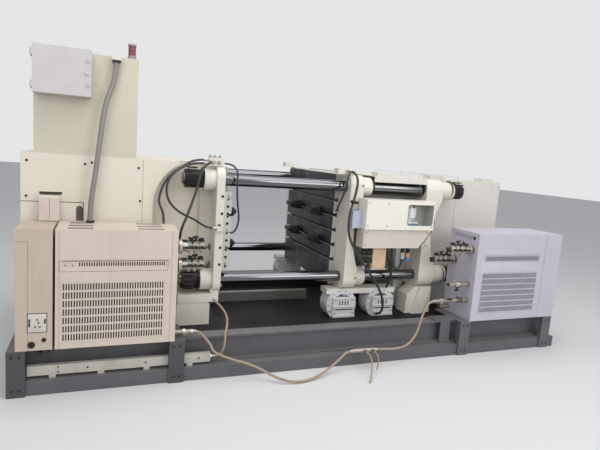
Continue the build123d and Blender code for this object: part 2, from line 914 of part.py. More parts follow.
beacon_x = tower_left + tower_width - beacon_from_edge
beacon_y = platen_front + beacon_inset
lens_bottom = tower_top + beacon_base_height
lens_top = lens_bottom + beacon_lens_height
with BuildPart() as beacon_ends:
    with Locations((beacon_x, beacon_y, tower_top + beacon_base_height / 2)):
        Cylinder(beacon_diameter / 2, beacon_base_height)
    with Locations((beacon_x, beacon_y, lens_top + beacon_cap_height / 2)):
        Cylinder(beacon_diameter / 2, beacon_cap_height)
save(beacon_ends.part, "beacon_ends")

with BuildPart() as beacon_lens:
    with Locations((beacon_x, beacon_y, lens_bottom + beacon_lens_height / 2)):
        Cylinder(beacon_diameter / 2 - seam_width, beacon_lens_height)
save(beacon_lens.part, "beacon_lens")

# Temperature-control units
unit_top = unit_floor + left_unit_height
with BuildPart() as left_cabinet:
    block((left_unit_x, left_unit_right), (skid_front, skid_front + left_unit_depth),
          (unit_floor, unit_top))
    for edge in (left_unit_x + panel_border / 2, left_unit_right - panel_border):
        block((edge, edge + seam_width), (skid_front, skid_front + seam_depth), (unit_floor, unit_top),
              mode=Mode.SUBTRACT)
    block((left_unit_x + panel_border, left_unit_right - panel_border - seam_width),
          (skid_front, skid_front + seam_depth),
          (unit_top - strip_drop - 2 * panel_border, unit_top - strip_drop - panel_border), mode=Mode.SUBTRACT)
save(left_cabinet.part, "left_unit_cabinet")

module_left = left_unit_x - module_gap - module_width
with BuildPart() as left_module:
    block((module_left, module_left + module_width), (skid_front, skid_front + left_unit_depth),
          (unit_floor, unit_top))
    panel_edge = module_left + module_width / 3
    panel_top = unit_top - strip_drop / 2
    block((panel_edge, panel_edge + seam_width), (skid_front, skid_front + seam_depth),
          (unit_floor, panel_top), mode=Mode.SUBTRACT)
    block((module_left, panel_edge), (skid_front, skid_front + seam_depth),
          (panel_top - seam_width, panel_top), mode=Mode.SUBTRACT)
save(left_module.part, "left_unit_module")

right_unit_top = unit_floor + right_unit_height
with BuildPart() as right_cabinet:
    block((right_unit_x, right_unit_x + right_unit_width), (skid_front, skid_front + right_unit_depth),
          (unit_floor, right_unit_top))
    louvre_left = right_unit_x + louvre_inset
    for row in range(louvre_count):
        low = right_unit_top - louvre_top - row * louvre_pitch - louvre_height
        block((louvre_left, louvre_left + louvre_width), (skid_front, skid_front + louvre_depth),
              (low, low + louvre_height), mode=Mode.SUBTRACT)
    vent_low = right_unit_top - louvre_top + louvre_inset
    block((louvre_left + louvre_inset / 2, louvre_left + louvre_width + louvre_inset / 2),
          (skid_front, skid_front + louvre_depth), (vent_low, vent_low + louvre_inset - seam_width),
          mode=Mode.SUBTRACT)
    seam_x = right_unit_x + right_unit_width * 4 / 5
    block((seam_x, seam_x + seam_width), (skid_front, skid_front + seam_depth), (unit_floor, right_unit_top),
          mode=Mode.SUBTRACT)
save(right_cabinet.part, "right_unit_cabinet")

with BuildPart() as unit_knobs:
    for x, z, size in (
        (module_left + module_width * 5 / 8, unit_floor - fitting_diameter, fitting_diameter),
        (module_left + module_width * 7 / 8, unit_floor - fitting_diameter * 3 / 4, fitting_diameter / 2),
    ):
        with Locations((x, skid_front + post_depth, z)):
            Cylinder(size / 2, post_depth, rotation=(90, 0, 0))
        block((x - seam_width, x + seam_width),
              (skid_front + post_depth - seam_width, skid_front + post_depth), (z, unit_floor))
save(unit_knobs.part, "unit_knobs")

# Carriage under the moving platen, and round shoes with a square foot in front
carriage_length = shoe_pitch + shoe_length
shoe_bottom = bed_top + shoe_fit
shoe_top = platen_bottom - carriage_height
with BuildPart() as carriage:
    for y in (bar_front, bar_back):
        block((carriage_left, carriage_left + carriage_length), (y - shoe_depth / 2, y + shoe_depth / 2),
              (shoe_top, platen_bottom))
save(carriage.part, "platen_carriage")

with BuildPart() as shoes:
    for i in (0, 1):
        middle = carriage_left + shoe_length / 2 + i * shoe_pitch
        for side, y in ((1, bar_front), (-1, bar_back)):
            shoe_face = y - side * shoe_depth / 2
            disc_z = platen_bottom - flange_radius
            with BuildSketch(upright(shoe_face)):
                with Locations((middle, disc_z)):
                    Circle(flange_radius)
                with Locations((middle, (shoe_bottom + shoe_top) / 2)):
                    Rectangle(shoe_length, shoe_top - shoe_bottom, mode=Mode.INTERSECT)
            extrude(amount=-side * shoe_depth)
            with BuildSketch(upright(shoe_face)):
                with Locations((middle, disc_z)):
                    Circle(flange_radius)
                with Locations((middle, (shoe_bottom + platen_bottom) / 2)):
                    Rectangle(shoe_length, platen_bottom - shoe_bottom, mode=Mode.INTERSECT)
            extrude(amount=side * flange_thickness)
            with BuildSketch(upright(shoe_face)):
                with Locations((middle + shoe_front_offset, shoe_bottom + shoe_front[1] / 2)):
                    Rectangle(shoe_front[0], shoe_front[1])
                with Locations((middle + shoe_front_offset, shoe_bottom + shoe_base)):
                    Rectangle(shoe_front[0], shoe_slot, mode=Mode.SUBTRACT)
            extrude(amount=side * shoe_front[2])
save(shoes.part, "platen_shoes")

# Oil box and valve box in front of the bars, on a bracket from the platen's side
oil_box_x = open_face_x + oil_box_offset
oil_box_right = oil_box_x + oil_box_width
bracket_front = platen_front - bracket_thickness
bracket_left = oil_box_x - bracket_reach
with BuildPart() as box_bracket:
    block((bracket_left, oil_box_right), (bracket_front, platen_front),
          (oil_box_bottom, oil_box_bottom + bracket_height))
    block((oil_box_x - side_panel[0], oil_box_x), (bracket_front - side_panel[1], bracket_front),
          (oil_box_bottom, oil_box_bottom + side_panel[2]))
save(box_bracket.part, "oil_box_bracket")

oil_box_front = bracket_front - oil_box_depth
window_x = oil_box_x + window_left + window_width / 2
window_z = oil_box_bottom + window_lift + window_height / 2
with BuildPart() as oil_box:
    block((oil_box_x, oil_box_right), (oil_box_front, bracket_front),
          (oil_box_bottom, oil_box_bottom + oil_box_height))
    block((window_x - window_width / 2 - window_corner, oil_box_right - oil_box_wall),
          (oil_box_front + oil_box_wall, bracket_front - oil_box_wall),
          (oil_box_bottom + oil_box_wall, oil_box_bottom + oil_box_height - oil_box_wall), mode=Mode.SUBTRACT)
    with BuildSketch(upright(oil_box_front)):
        with Locations((window_x, window_z)):
            RectangleRounded(window_width, window_height, window_corner)
    extrude(amount=-oil_box_wall, mode=Mode.SUBTRACT)
save(oil_box.part, "oil_box")

with BuildPart() as oil_pump:
    pump_x = window_x - window_width / 4
    pump_y = bracket_front - oil_box_depth / 2
    pump_bottom = oil_box_bottom + oil_box_wall
    block((pump_x - pump_diameter / 2, pump_x + pump_diameter * 3 / 4),
          (pump_y - pump_diameter / 2, pump_y + pump_diameter / 2),
          (pump_bottom, pump_bottom + pump_height / 2))
    with Locations((pump_x, pump_y, pump_bottom + pump_height)):
        Cylinder(pump_diameter / 2, pump_height)
        Cylinder(pump_diameter / 4, pump_height * 4 / 3)
    with Locations((pump_x + pump_diameter / 2, pump_y, pump_bottom + pump_height)):
        Cylinder(fitting_diameter / 2, pump_height)
save(oil_pump.part, "oil_pump")

with BuildPart() as valve_box:
    valve_box_bottom = oil_box_bottom - valve_box_height
    with BuildSketch(upright(bracket_front - valve_box_depth)):
        Polygon(
            (oil_box_x, oil_box_bottom),
            (oil_box_x, valve_box_bottom),
            (oil_box_x + valve_box_width - corner_width, valve_box_bottom),
            (oil_box_x + valve_box_width, valve_box_bottom + corner_height),
            (oil_box_x + valve_box_width, oil_box_bottom),
            align=None,
        )
    extrude(amount=-valve_box_depth)
    boss_x = oil_box_x + oil_boss_inset
    round_bar((boss_x, boss_x + oil_boss_length), bracket_front - oil_boss_reach,
              valve_box_bottom + oil_boss_rise, oil_boss_diameter)
save(valve_box.part, "valve_box")

# Valve block that hangs under the valve box
with BuildPart() as plate_block:
    plate_left = oil_box_x + valve_plate[0]
    plate_y = bracket_front - valve_box_depth / 2
    block((plate_left, plate_left + valve_plate[0]),
          (plate_y - valve_plate[1] / 2, plate_y + valve_plate[1] / 2),
          (valve_box_bottom - valve_plate[2], valve_box_bottom))
save(plate_block.part, "valve_plate")

with BuildPart() as block_fittings:
    for drop in (1 / 4, 5 / 8):
        round_bar((plate_left - valve_plate[0] * 3 / 4, plate_left), plate_y,
                  valve_box_bottom - valve_plate[2] * drop, valve_body_diameter)
    for place in (3 / 4, 5 / 6):
        with Locations((oil_box_x + valve_box_width * place - corner_width / 2, plate_y,
                        valve_box_bottom - valve_plate[2] / 3)):
            Cylinder(fitting_diameter / 2, valve_plate[2] * 2 / 3)
save(block_fittings.part, "block_fittings")


# Clamps that wait in the T-slots of both die faces
def die_clamps(face_x, outward, places):
    """Step clamps on a die face: a foot, a body that stands out from the face and a nose along Y."""
    with BuildPart() as clamps:
        for y, z, nose in places:
            reach = sorted((face_x, face_x + outward * clamp_height))
            block(reach, (y - clamp_width / 2, y + clamp_width / 2),
                  (z - clamp_width / 2, z + clamp_width / 2))
            tip = sorted((face_x + outward * (clamp_height - clamp_nose), face_x + outward * clamp_height))
            ends = sorted((y, y + nose * clamp_length))
            block(tip, ends, (z - clamp_nose / 2, z + clamp_nose / 2))
            post = sorted((face_x, face_x + outward * (clamp_height + clamp_bolt)))
            round_bar(post, y - nose * clamp_bolt / 2, z, clamp_bolt)
    return clamps.part


clamp_rows = [machine_z + slot_pitch, machine_z - slot_pitch]
moving_places = [(machine_y + side * moving_clamp_reach, z, 1) for side in (1, -1) for z in clamp_rows]
fixed_places = [(machine_y - fixed_clamp_reach, z, 1) for z in clamp_rows]
save(die_clamps(open_face_x, -1, moving_places), "moving_clamps")
save(die_clamps(fixed_face_x, 1, fixed_places), "stationary_clamps")


# Water manifolds with shut-off levers on the sides of the units
manifold_places = (
    (left_unit_right, 1, left_manifold_y, manifold_high, left_manifold_length),
    (left_unit_right, 1, left_manifold_y, manifold_low, left_manifold_length),
    (right_unit_x, -1, right_manifold_y, manifold_high, right_manifold_length),
    (right_unit_x, -1, right_manifold_y + manifold_step, manifold_low, right_manifold_length),
)
half_side = manifold_side / 2
with BuildPart() as manifolds:
    for face_x, outward, y, z, length in manifold_places:
        start = face_x + outward * stub_length
        round_bar(sorted((face_x, start)), y, z, stub_diameter)
        block(sorted((start, start + outward * length)), (y - half_side, y + half_side),
              (z - half_side, z + half_side))
save(manifolds.part, "manifolds")

# Three levers on the top and three on the front of each manifold
with BuildPart() as valve_levers:
    for face_x, outward, y, z, length in manifold_places:
        for share in (1 / 6, 1 / 2, 5 / 6):
            x = face_x + outward * (stub_length + length * share)
            with Locations((x, y, z + half_side + lever_rise / 2)):
                Box(lever_stem, lever_stem, lever_rise)
            with Locations((x, y, z + half_side + lever_rise)):
                Box(*lever_wing)
            with Locations((x, y - half_side - lever_rise / 2, z)):
                Box(lever_stem, lever_rise, lever_stem)
            with Locations((x, y - half_side - lever_rise, z)):
                Box(*lever_wing)
save(valve_levers.part, "valve_levers")

# Hose fittings: bosses on the units, a coupling in the front hose and small glands
with BuildPart() as unit_fittings:
    y, z = left_fitting_place
    round_bar((left_unit_right, left_unit_right + left_fitting_length), y, z, fitting_diameter)
    x = right_unit_x - right_fitting_length
    y, z = right_fitting_place
    round_bar((x, right_unit_x), y, z, fitting_diameter)
    round_bar((x + cock_inset, right_unit_x), y, z + cock_rise, fitting_diameter)
    with Locations((x + cock_inset * 2, y, z + cock_rise / 2)):
        Cylinder(cock_pipe / 2, cock_rise)
    with Locations((x + cock_inset * 3 / 2, y, z + cock_rise + fitting_diameter)):
        Box(*lever_wing)
        Cylinder(lever_stem / 2, fitting_diameter * 2)
save(unit_fittings.part, "unit_fittings")

with BuildPart() as coupling:
    round_bar(coupling_x, coupling_place[0], coupling_place[1], fitting_diameter)
    for x in tail_x:
        with Locations((x, coupling_place[0] - fitting_diameter * 3 / 4, coupling_place[1])):
            Cylinder(tail_boss / 2, fitting_diameter * 3 / 2, rotation=(90, 0, 0))
save(coupling.part, "hose_coupling")


# Hoses and cables: straight runs joined by the largest arcs that fit
def hose(name, points, diameter):
    """Eight-sided tube of the round hose's section along the points, each arc as large as its runs allow."""
    runs = [Vector(b) - Vector(a) for a, b in zip(points, points[1:])]
    radii = []
    for before, after in zip(runs, runs[1:]):
        half_turn = radians(before.get_angle(after) / 2)
        radii.append(0.45 * min(before.length, after.length) / tan(half_turn))
    with BuildPart() as tube:
        with BuildLine() as path:
            FilletPolyline(*points, radius=radii)
        start = Plane(origin=points[0], z_dir=runs[0])
        section = pi * diameter ** 2 / 4
        across_corners = sqrt(8 * section / (hose_sides * sin(2 * pi / hose_sides)))
        with BuildSketch(start):
            RegularPolygon(across_corners / 2, hose_sides)
        sweep(path=path.line)
    length = sum(edge.length for edge in path.line.edges())
    ratio = round(tube.part.volume / (section * length), 4)
    print(name, "smallest radius", round(min(radii)), "volume", ratio)
    save(tube.part, name)


hose("tower_conduit", tower_conduit, conduit_diameter)
hose("upper_black_hose", upper_black_hose, hose_diameter)
hose("lower_black_hose", lower_black_hose, hose_diameter)
hose("clamp_cable", clamp_cable, clamp_cable_diameter)
hose("carriage_hose", carriage_hose, carriage_hose_diameter)
hose("bed_tan_hose", bed_tan_hose, bed_hose_diameter)
hose("front_tan_hose", front_tan_hose, tan_hose_diameter)
hose("right_tan_hose", right_tan_hose, tan_hose_diameter)
hose("long_drain_tail", long_drain_tail, tail_diameter)
hose("short_drain_tail", short_drain_tail, short_tail_diameter)
hose("oil_line", oil_line, oil_line_diameter)
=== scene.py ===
from math import cos, pi, radians, sin

import bmesh
import bpy
from mathutils import Matrix, Vector


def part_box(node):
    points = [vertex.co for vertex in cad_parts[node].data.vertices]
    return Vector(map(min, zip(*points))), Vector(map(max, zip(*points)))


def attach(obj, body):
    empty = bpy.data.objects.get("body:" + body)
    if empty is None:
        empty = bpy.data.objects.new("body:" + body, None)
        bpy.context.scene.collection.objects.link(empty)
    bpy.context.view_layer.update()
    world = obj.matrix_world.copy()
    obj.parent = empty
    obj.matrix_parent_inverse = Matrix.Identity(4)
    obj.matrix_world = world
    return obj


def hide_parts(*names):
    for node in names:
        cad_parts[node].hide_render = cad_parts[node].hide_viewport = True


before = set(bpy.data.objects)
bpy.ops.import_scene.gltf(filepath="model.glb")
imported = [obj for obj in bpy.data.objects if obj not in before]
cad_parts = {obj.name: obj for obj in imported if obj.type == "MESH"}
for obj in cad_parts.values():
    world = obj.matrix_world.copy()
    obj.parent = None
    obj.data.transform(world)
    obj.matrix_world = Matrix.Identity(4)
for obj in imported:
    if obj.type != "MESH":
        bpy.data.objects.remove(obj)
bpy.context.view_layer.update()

# Camera
# It stands where the photograph was taken: at eye height, in front of the left half, turned towards the
# middle of the machine, pitched down and held a few degrees out of level.
camera_place = (-1.720, -4.330, 1.600)
camera_turn, camera_pitch, camera_roll = radians(-21.84), radians(-7.85), radians(-4.19)
camera_data = bpy.data.cameras.new("camera")
camera_data.sensor_width = 36
camera_data.lens = 29.93
camera = bpy.data.objects.new("camera", camera_data)
bpy.context.scene.collection.objects.link(camera)
aim = Matrix.Rotation(camera_turn, 4, "Z") @ Matrix.Rotation(camera_pitch, 4, "X")
aim = aim @ Matrix.Rotation(camera_roll, 4, "Y") @ Matrix.Rotation(pi / 2, 4, "X")
camera.matrix_world = Matrix.Translation(camera_place) @ aim
bpy.context.scene.camera = camera
bpy.context.scene.view_settings.view_transform = "Standard"


# Studio
# A pale floor, a pale world behind it, one wide soft lamp overhead and two weaker ones on the operator's
# side, one towards each end of the machine.
def wire(tree, kind, values=None, **settings):
    """Add one node to a tree, set it up, and give its inputs values or links."""
    made = tree.nodes.new(kind)
    for key, value in settings.items():
        setattr(made, key, value)
    for name, value in (values or {}).items():
        if isinstance(value, bpy.types.NodeSocket):
            tree.links.new(value, made.inputs[name])
        else:
            made.inputs[name].default_value = value
    return made


world = bpy.data.worlds.new("studio")
world.use_nodes = True
bpy.context.scene.world = world
sky = world.node_tree
sky.nodes.clear()
path = wire(sky, "ShaderNodeLightPath")
seen = path.outputs["Is Camera Ray"]
for kind in ("Is Glossy Ray", "Is Transmission Ray"):
    seen = wire(sky, "ShaderNodeMath", {0: seen, 1: path.outputs[kind]}, operation="MAXIMUM").outputs[0]
soft = wire(sky, "ShaderNodeBackground", {"Color": (0.86, 0.88, 0.92, 1), "Strength": 0.55})
plain = wire(sky, "ShaderNodeBackground", {"Color": (0.78, 0.79, 0.80, 1), "Strength": 1.0})
both = wire(sky, "ShaderNodeMixShader", {"Fac": seen, 1: soft.outputs[0], 2: plain.outputs[0]})
wire(sky, "ShaderNodeOutputWorld", {"Surface": both.outputs[0]})

for name, place, size, power, target in (
    ("overhead_lamp", (-0.2, -1.4, 5.2), 5.0, 170, (0.2, 0.2, 0.8)),
    ("tower_end_lamp", (-3.4, -5.2, 3.4), 3.0, 65, (-0.4, 0.0, 0.8)),
    ("ram_end_lamp", (2.6, -5.6, 3.0), 3.0, 95, (0.9, -0.2, 0.9)),
):
    light = bpy.data.lights.new(name, "AREA")
    light.size = size
    light.energy = power
    lamp = bpy.data.objects.new(name, light)
    lamp.location = place
    lamp.rotation_euler = (Vector(target) - Vector(place)).to_track_quat("-Z", "Y").to_euler()
    bpy.context.scene.collection.objects.link(lamp)

floor_half = 30
floor_corners = [(x * floor_half, y * floor_half, 0) for x, y in ((-1, -1), (1, -1), (1, 1), (-1, 1))]
floor_mesh = bpy.data.meshes.new("floor")
floor_mesh.from_pydata(floor_corners, [], [(0, 1, 2, 3)])
floor = bpy.data.objects.new("floor", floor_mesh)
bpy.context.scene.collection.objects.link(floor)
floor_finish = bpy.data.materials.new("pale_floor")
floor_finish.use_nodes = True
floor_surface = floor_finish.node_tree.nodes["Principled BSDF"].inputs
floor_surface["Base Color"].default_value = (0.66, 0.66, 0.66, 1)
floor_surface["Roughness"].default_value = 0.8
floor_mesh.materials.append(floor_finish)


# Hoses and cables
# Rubber hoses, a grey conduit and tan braided water hose, each one flexible length from its first
# fitting to its last. A crimped ferrule holds each end of a pressure hose.
def group_of(name, inputs, outputs):
    """A shader node group with named sockets: floats in, and floats or colours out."""
    tree = bpy.data.node_groups.new(name, "ShaderNodeTree")
    for label, value in inputs.items():
        tree.interface.new_socket(label, in_out="INPUT", socket_type="NodeSocketFloat").default_value = value
    for label in outputs:
        tree.interface.new_socket(label, in_out="OUTPUT", socket_type="NodeSocketFloat")
    return tree, wire(tree, "NodeGroupInput"), wire(tree, "NodeGroupOutput")


def shop_dirt_group():
    """Oily stains in patches, drips that run down, and dust on what faces up."""
    tree, given, result = group_of("shop_dirt", {"Scale": 3.0, "Amount": 0.5}, ["Stain", "Drip", "Dust"])
    place = wire(tree, "ShaderNodeTexCoord").outputs["Object"]
    stretched = wire(tree, "ShaderNodeMapping", {"Vector": place, "Scale": (9, 9, 0.7)}).outputs[0]
    scale = given.outputs["Scale"]
    clouds = wire(tree, "ShaderNodeTexNoise",
                  {"Vector": place, "Scale": scale, "Detail": 6.0, "Roughness": 0.62}).outputs[0]
    runs = wire(tree, "ShaderNodeTexNoise", {"Vector": stretched, "Scale": scale, "Detail": 3.0}).outputs[0]
    facing = wire(tree, "ShaderNodeNewGeometry").outputs["Normal"]
    up = wire(tree, "ShaderNodeSeparateXYZ", {0: facing}).outputs["Z"]
    for label, source, low, high in (("Stain", clouds, 0.48, 0.72), ("Drip", runs, 0.55, 0.74),
                                     ("Dust", up, 0.45, 0.95)):
        shaped = wire(tree, "ShaderNodeMapRange", {"Value": source, "From Min": low, "From Max": high})
        scaled = wire(tree, "ShaderNodeMath", {0: shaped.outputs[0], 1: given.outputs["Amount"]},
                      operation="MULTIPLY")
        tree.links.new(scaled.outputs[0], result.inputs[label])
    return tree


def rubbed_edges_group():
    """Where paint is knocked off: corners turned sharper than the bevel, broken up in patches."""
    tree, given, result = group_of("rubbed_edges", {"Reach": 0.004, "Patches": 14.0, "Amount": 0.5}, ["Bare"])
    place = wire(tree, "ShaderNodeTexCoord").outputs["Object"]
    rounded = wire(tree, "ShaderNodeBevel", {"Radius": given.outputs["Reach"]}, samples=4)
    flat = wire(tree, "ShaderNodeNewGeometry")
    turn = wire(tree, "ShaderNodeVectorMath", {0: rounded.outputs[0], 1: flat.outputs["Normal"]},
                operation="DOT_PRODUCT").outputs["Value"]
    corner = wire(tree, "ShaderNodeMapRange", {"Value": turn, "From Min": 0.985, "From Max": 0.90}).outputs[0]
    patch = wire(tree, "ShaderNodeTexNoise",
                 {"Vector": place, "Scale": given.outputs["Patches"], "Detail": 5.0}).outputs[0]
    broken = wire(tree, "ShaderNodeMapRange", {"Value": patch, "From Min": 0.47, "From Max": 0.60}).outputs[0]
    both = wire(tree, "ShaderNodeMath", {0: corner, 1: broken}, operation="MULTIPLY").outputs[0]
    scaled = wire(tree, "ShaderNodeMath", {0: both, 1: given.outputs["Amount"]}, operation="MULTIPLY")
    tree.links.new(scaled.outputs[0], result.inputs["Bare"])
    return tree


shop_dirt = shop_dirt_group()
rubbed_edges = rubbed_edges_group()


def mixed(tree, amount, first, second):
    """One colour over another by an amount."""
    made = wire(tree, "ShaderNodeMix", {"Factor": amount}, data_type="RGBA")
    for name, value in (("A", first), ("B", second)):
        target = next(s for s in made.inputs if s.name == name and s.type == "RGBA")
        if isinstance(value, bpy.types.NodeSocket):
            tree.links.new(value, target)
        else:
            target.default_value = (*value, 1)
    return next(s for s in made.outputs if s.type == "RGBA")


def finish(name, colour, dirt=(0.10, 0.085, 0.06), soiled=0.35, scale=3.0, bare=(0.30, 0.29, 0.28),
           rubbed=0.0, roughness=0.45, metallic=0.0, grain=(260, 0.02), coat=0.0, dusty=0.08, drips=0.18,
           shine=0.5):
    """A finish with its own colour, shop dirt, rubbed edges and fine surface grain."""
    dust = (0.34, 0.32, 0.28)
    duller_when_soiled = 0.22
    material = bpy.data.materials.new(name)
    material.use_nodes = True
    tree = material.node_tree
    surface = tree.nodes["Principled BSDF"]
    soil = wire(tree, "ShaderNodeGroup", {}, node_tree=shop_dirt)
    soil.inputs["Scale"].default_value = scale
    soil.inputs["Amount"].default_value = soiled
    stained = [c * 0.74 + d * 0.12 for c, d in zip(colour, dirt)]
    shade = mixed(tree, soil.outputs["Stain"], colour, stained)
    run = wire(tree, "ShaderNodeMath", {0: soil.outputs["Drip"], 1: drips}, operation="MULTIPLY")
    shade = mixed(tree, run.outputs[0], shade, dirt)
    settled = wire(tree, "ShaderNodeMath", {0: soil.outputs["Dust"], 1: dusty}, operation="MULTIPLY")
    shade = mixed(tree, settled.outputs[0], shade, dust)
    place = wire(tree, "ShaderNodeTexCoord").outputs["Object"]
    fine = wire(tree, "ShaderNodeTexNoise", {"Vector": place, "Scale": float(grain[0]), "Detail": 2.0})
    if rubbed:
        edge = wire(tree, "ShaderNodeGroup", {}, node_tree=rubbed_edges)
        edge.inputs["Amount"].default_value = rubbed
        shade = mixed(tree, edge.outputs["Bare"], shade, bare)
    tree.links.new(shade, surface.inputs["Base Color"])
    worn = wire(tree, "ShaderNodeMapRange", {"Value": soil.outputs["Stain"], "To Min": roughness,
                                             "To Max": min(1.0, roughness + duller_when_soiled)})
    tree.links.new(worn.outputs[0], surface.inputs["Roughness"])
    bump = wire(tree, "ShaderNodeBump", {"Height": fine.outputs[0], "Strength": grain[1] * 10,
                                         "Distance": 0.0006})
    tree.links.new(bump.outputs[0], surface.inputs["Normal"])
    surface.inputs["Metallic"].default_value = metallic
    surface.inputs["Specular IOR Level"].default_value = shine
    surface.inputs["Coat Weight"].default_value = coat
    return material


black_rubber = finish("black_rubber", (0.022, 0.024, 0.026), dirt=(0.12, 0.11, 0.09), soiled=0.5, scale=9,
                      roughness=0.42, grain=(900, 0.05))
grey_conduit = finish("grey_conduit", (0.25, 0.23, 0.22), soiled=0.35, scale=6, roughness=0.5,
                      grain=(700, 0.05))
tan_braid = finish("tan_braid", (0.36, 0.265, 0.185), soiled=0.6, scale=14, roughness=0.62,
                   grain=(1300, 0.14))
crimped_steel = finish("crimped_steel", (0.50, 0.50, 0.50), soiled=0.6, scale=30, roughness=0.28,
                       metallic=1.0, grain=(900, 0.03))


def linked(name, data, material, body):
    """Put a finished mesh or curve into the scene, on its body."""
    data.materials.clear()
    data.materials.append(material)
    piece = bpy.data.objects.new(name, data)
    bpy.context.scene.collection.objects.link(piece)
    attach(piece, body)
    return piece


def solid(name, shape, material, body, sharp=35):
    """Turn an edit mesh into a piece with smooth curves and crisp corners."""
    bmesh.ops.recalc_face_normals(shape, faces=shape.faces[:])
    mesh = bpy.data.meshes.new(name)
    shape.to_mesh(mesh)
    shape.free()
    mesh.shade_smooth()
    mesh.set_sharp_from_angle(angle=radians(sharp))
    return linked(name, mesh, material, body)


def turned(shape, start, towards, profile, sides=20):
    """Add a turned part: rings of (distance from start, radius), closed at both ends."""
    along = Vector(towards).normalized()
    side = along.orthogonal().normalized()
    other = along.cross(side)
    rings = []
    for distance, radius in profile:
        middle = Vector(start) + along * distance
        rings.append([shape.verts.new(middle + (side * cos(a) + other * sin(a)) * radius)
                      for a in (2 * pi * i / sides for i in range(sides))])
    for near, far in zip(rings, rings[1:]):
        for i in range(sides):
            shape.faces.new((near[i - 1], near[i], far[i], far[i - 1]))
    shape.faces.new(rings[0])
    shape.faces.new(rings[-1])


def peg(shape, start, towards, radius, length, sides=20):
    """Add a plain round bar; one with six sides is a hexagon."""
    turned(shape, start, towards, [(0, radius), (length, radius)], sides)


def block(shape, low, high, rounding=0.0):
    """Add a box between two corners, with its edges rounded off."""
    corners = bmesh.ops.create_cube(shape, size=1.0)["verts"]
    for corner in corners:
        corner.co = [a + (c + 0.5) * (b - a) for a, b, c in zip(low, high, corner.co)]
    if rounding:
        edges = list({edge for corner in corners for edge in corner.link_edges})
        bmesh.ops.bevel(shape, geom=edges, offset=rounding, segments=2, profile=0.5, affect="EDGES")


def ferrule(shape, points, radius, length):
    """Add a crimped sleeve with a hexagon nut over a hose's first run."""
    start = Vector(points[0])
    towards = Vector(points[1]) - start
    nut = length * 0.35
    sleeve, pressed = radius * 1.35, radius * 1.22
    crimps = 4
    half_crimp = length * 0.03
    peg(shape, start, towards, radius * 1.75, nut, 6)
    steps = [(nut, sleeve)]
    for i in range(crimps):
        at = nut + (length - nut) * (i + 0.5) / crimps
        steps += [(at - half_crimp, sleeve), (at, pressed), (at + half_crimp, sleeve)]
    turned(shape, start, towards, steps + [(length, radius * 1.3)], 16)


def round_line(name, diameter, points):
    """A round hose or pipe on a smooth spline with these control points."""
    curve = bpy.data.curves.new(name, "CURVE")
    curve.dimensions = "3D"
    curve.bevel_depth = diameter / 2
    curve.bevel_resolution = 4
    curve.resolution_u = 8
    curve.use_fill_caps = True
    spline = curve.splines.new("NURBS")
    spline.points.add(len(points) - 1)
    for control, point in zip(spline.points, points):
        control.co = (*point, 1)
    spline.order_u = 3
    spline.use_endpoint_u = True
    return curve


def flexible(node, diameter, material, body, points, sleeves=(),
             on_it=(), has_solid=True):
    """One cord on a smooth spline through its control points, with a ferrule at each end named in sleeves.
    has_solid says whether it takes the place of a plain tube of that name."""
    longest_ferrule = 0.034
    piece = linked(node + "_line", round_line(node + "_line", diameter, points), material, body)
    if has_solid:
        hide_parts(node)
    together = list(on_it)
    if sleeves:
        shape = bmesh.new()
        for end in sleeves:
            from_end = points if end == "first" else points[::-1]
            ferrule(shape, from_end, diameter / 2, min(longest_ferrule, diameter * 2))
        together.append(solid(node + "_ferrules", shape, crimped_steel, body))


flexible("tower_conduit", 0.034, grey_conduit, "frame", [
    (-1.65, -0.7, 2.135), (-1.65, -0.7, 2.03), (-1.716, -0.722, 1.85), (-1.744, -0.73, 1.6),
    (-1.768, -0.73, 1.38), (-1.797, -0.725, 1.18), (-1.797, -0.725, 1.057)
])
flexible("upper_black_hose", 0.016, black_rubber, "frame", [
    (-0.99, -0.56, 1.522), (-1.08, -0.56, 1.522), (-1.175, -0.63, 1.475), (-1.257, -0.675, 1.422),
    (-1.316, -0.697, 1.349), (-1.346, -0.707, 1.271), (-1.354, -0.714, 1.201), (-1.316, -0.725, 1.13),
    (-1.316, -0.725, 1.057)
], sleeves=("first",))
flexible("lower_black_hose", 0.016, black_rubber, "frame", [
    (-0.99, -0.58, 1.496), (-1.07, -0.58, 1.496), (-1.157, -0.65, 1.477), (-1.247, -0.702, 1.431),
    (-1.295, -0.722, 1.366), (-1.307, -0.728, 1.296), (-1.291, -0.728, 1.226), (-1.247, -0.722, 1.17),
    (-1.18, -0.712, 1.123), (-1.098, -0.696, 1.09), (-0.995, -0.682, 1.02), (-0.925, -0.682, 1.02)
], sleeves=("first", "last"))
flexible("clamp_cable", 0.014, black_rubber, "frame", [
    (-0.87, -0.58, 1.503), (-0.824, -0.58, 1.503), (-0.786, -0.606, 1.48), (-0.772, -0.638, 1.438),
    (-0.78, -0.652, 1.37), (-0.776, -0.656, 1.295), (-0.77, -0.652, 1.227), (-0.752, -0.642, 1.13),
    (-0.746, -0.63, 1.07), (-0.756, -0.614, 1.012), (-0.78, -0.606, 0.974), (-0.814, -0.606, 0.974)
])
flexible("carriage_hose", 0.02, black_rubber, "moving_platen_group", [
    (0.19, -0.6, 1.504), (0.19, -0.655, 1.504), (0.199, -0.704, 1.477), (0.203, -0.73, 1.423),
    (0.182, -0.742, 1.321), (0.156, -0.752, 1.24), (0.133, -0.762, 1.159), (0.128, -0.768, 1.07),
    (0.145, -0.775, 0.965), (0.207, -0.78, 0.866), (0.295, -0.784, 0.749), (0.377, -0.782, 0.654),
    (0.458, -0.778, 0.551), (0.513, -0.768, 0.454), (0.528, -0.765, 0.352), (0.516, -0.72, 0.292),
    (0.516, -0.655, 0.292)
], sleeves=("first", "last"))
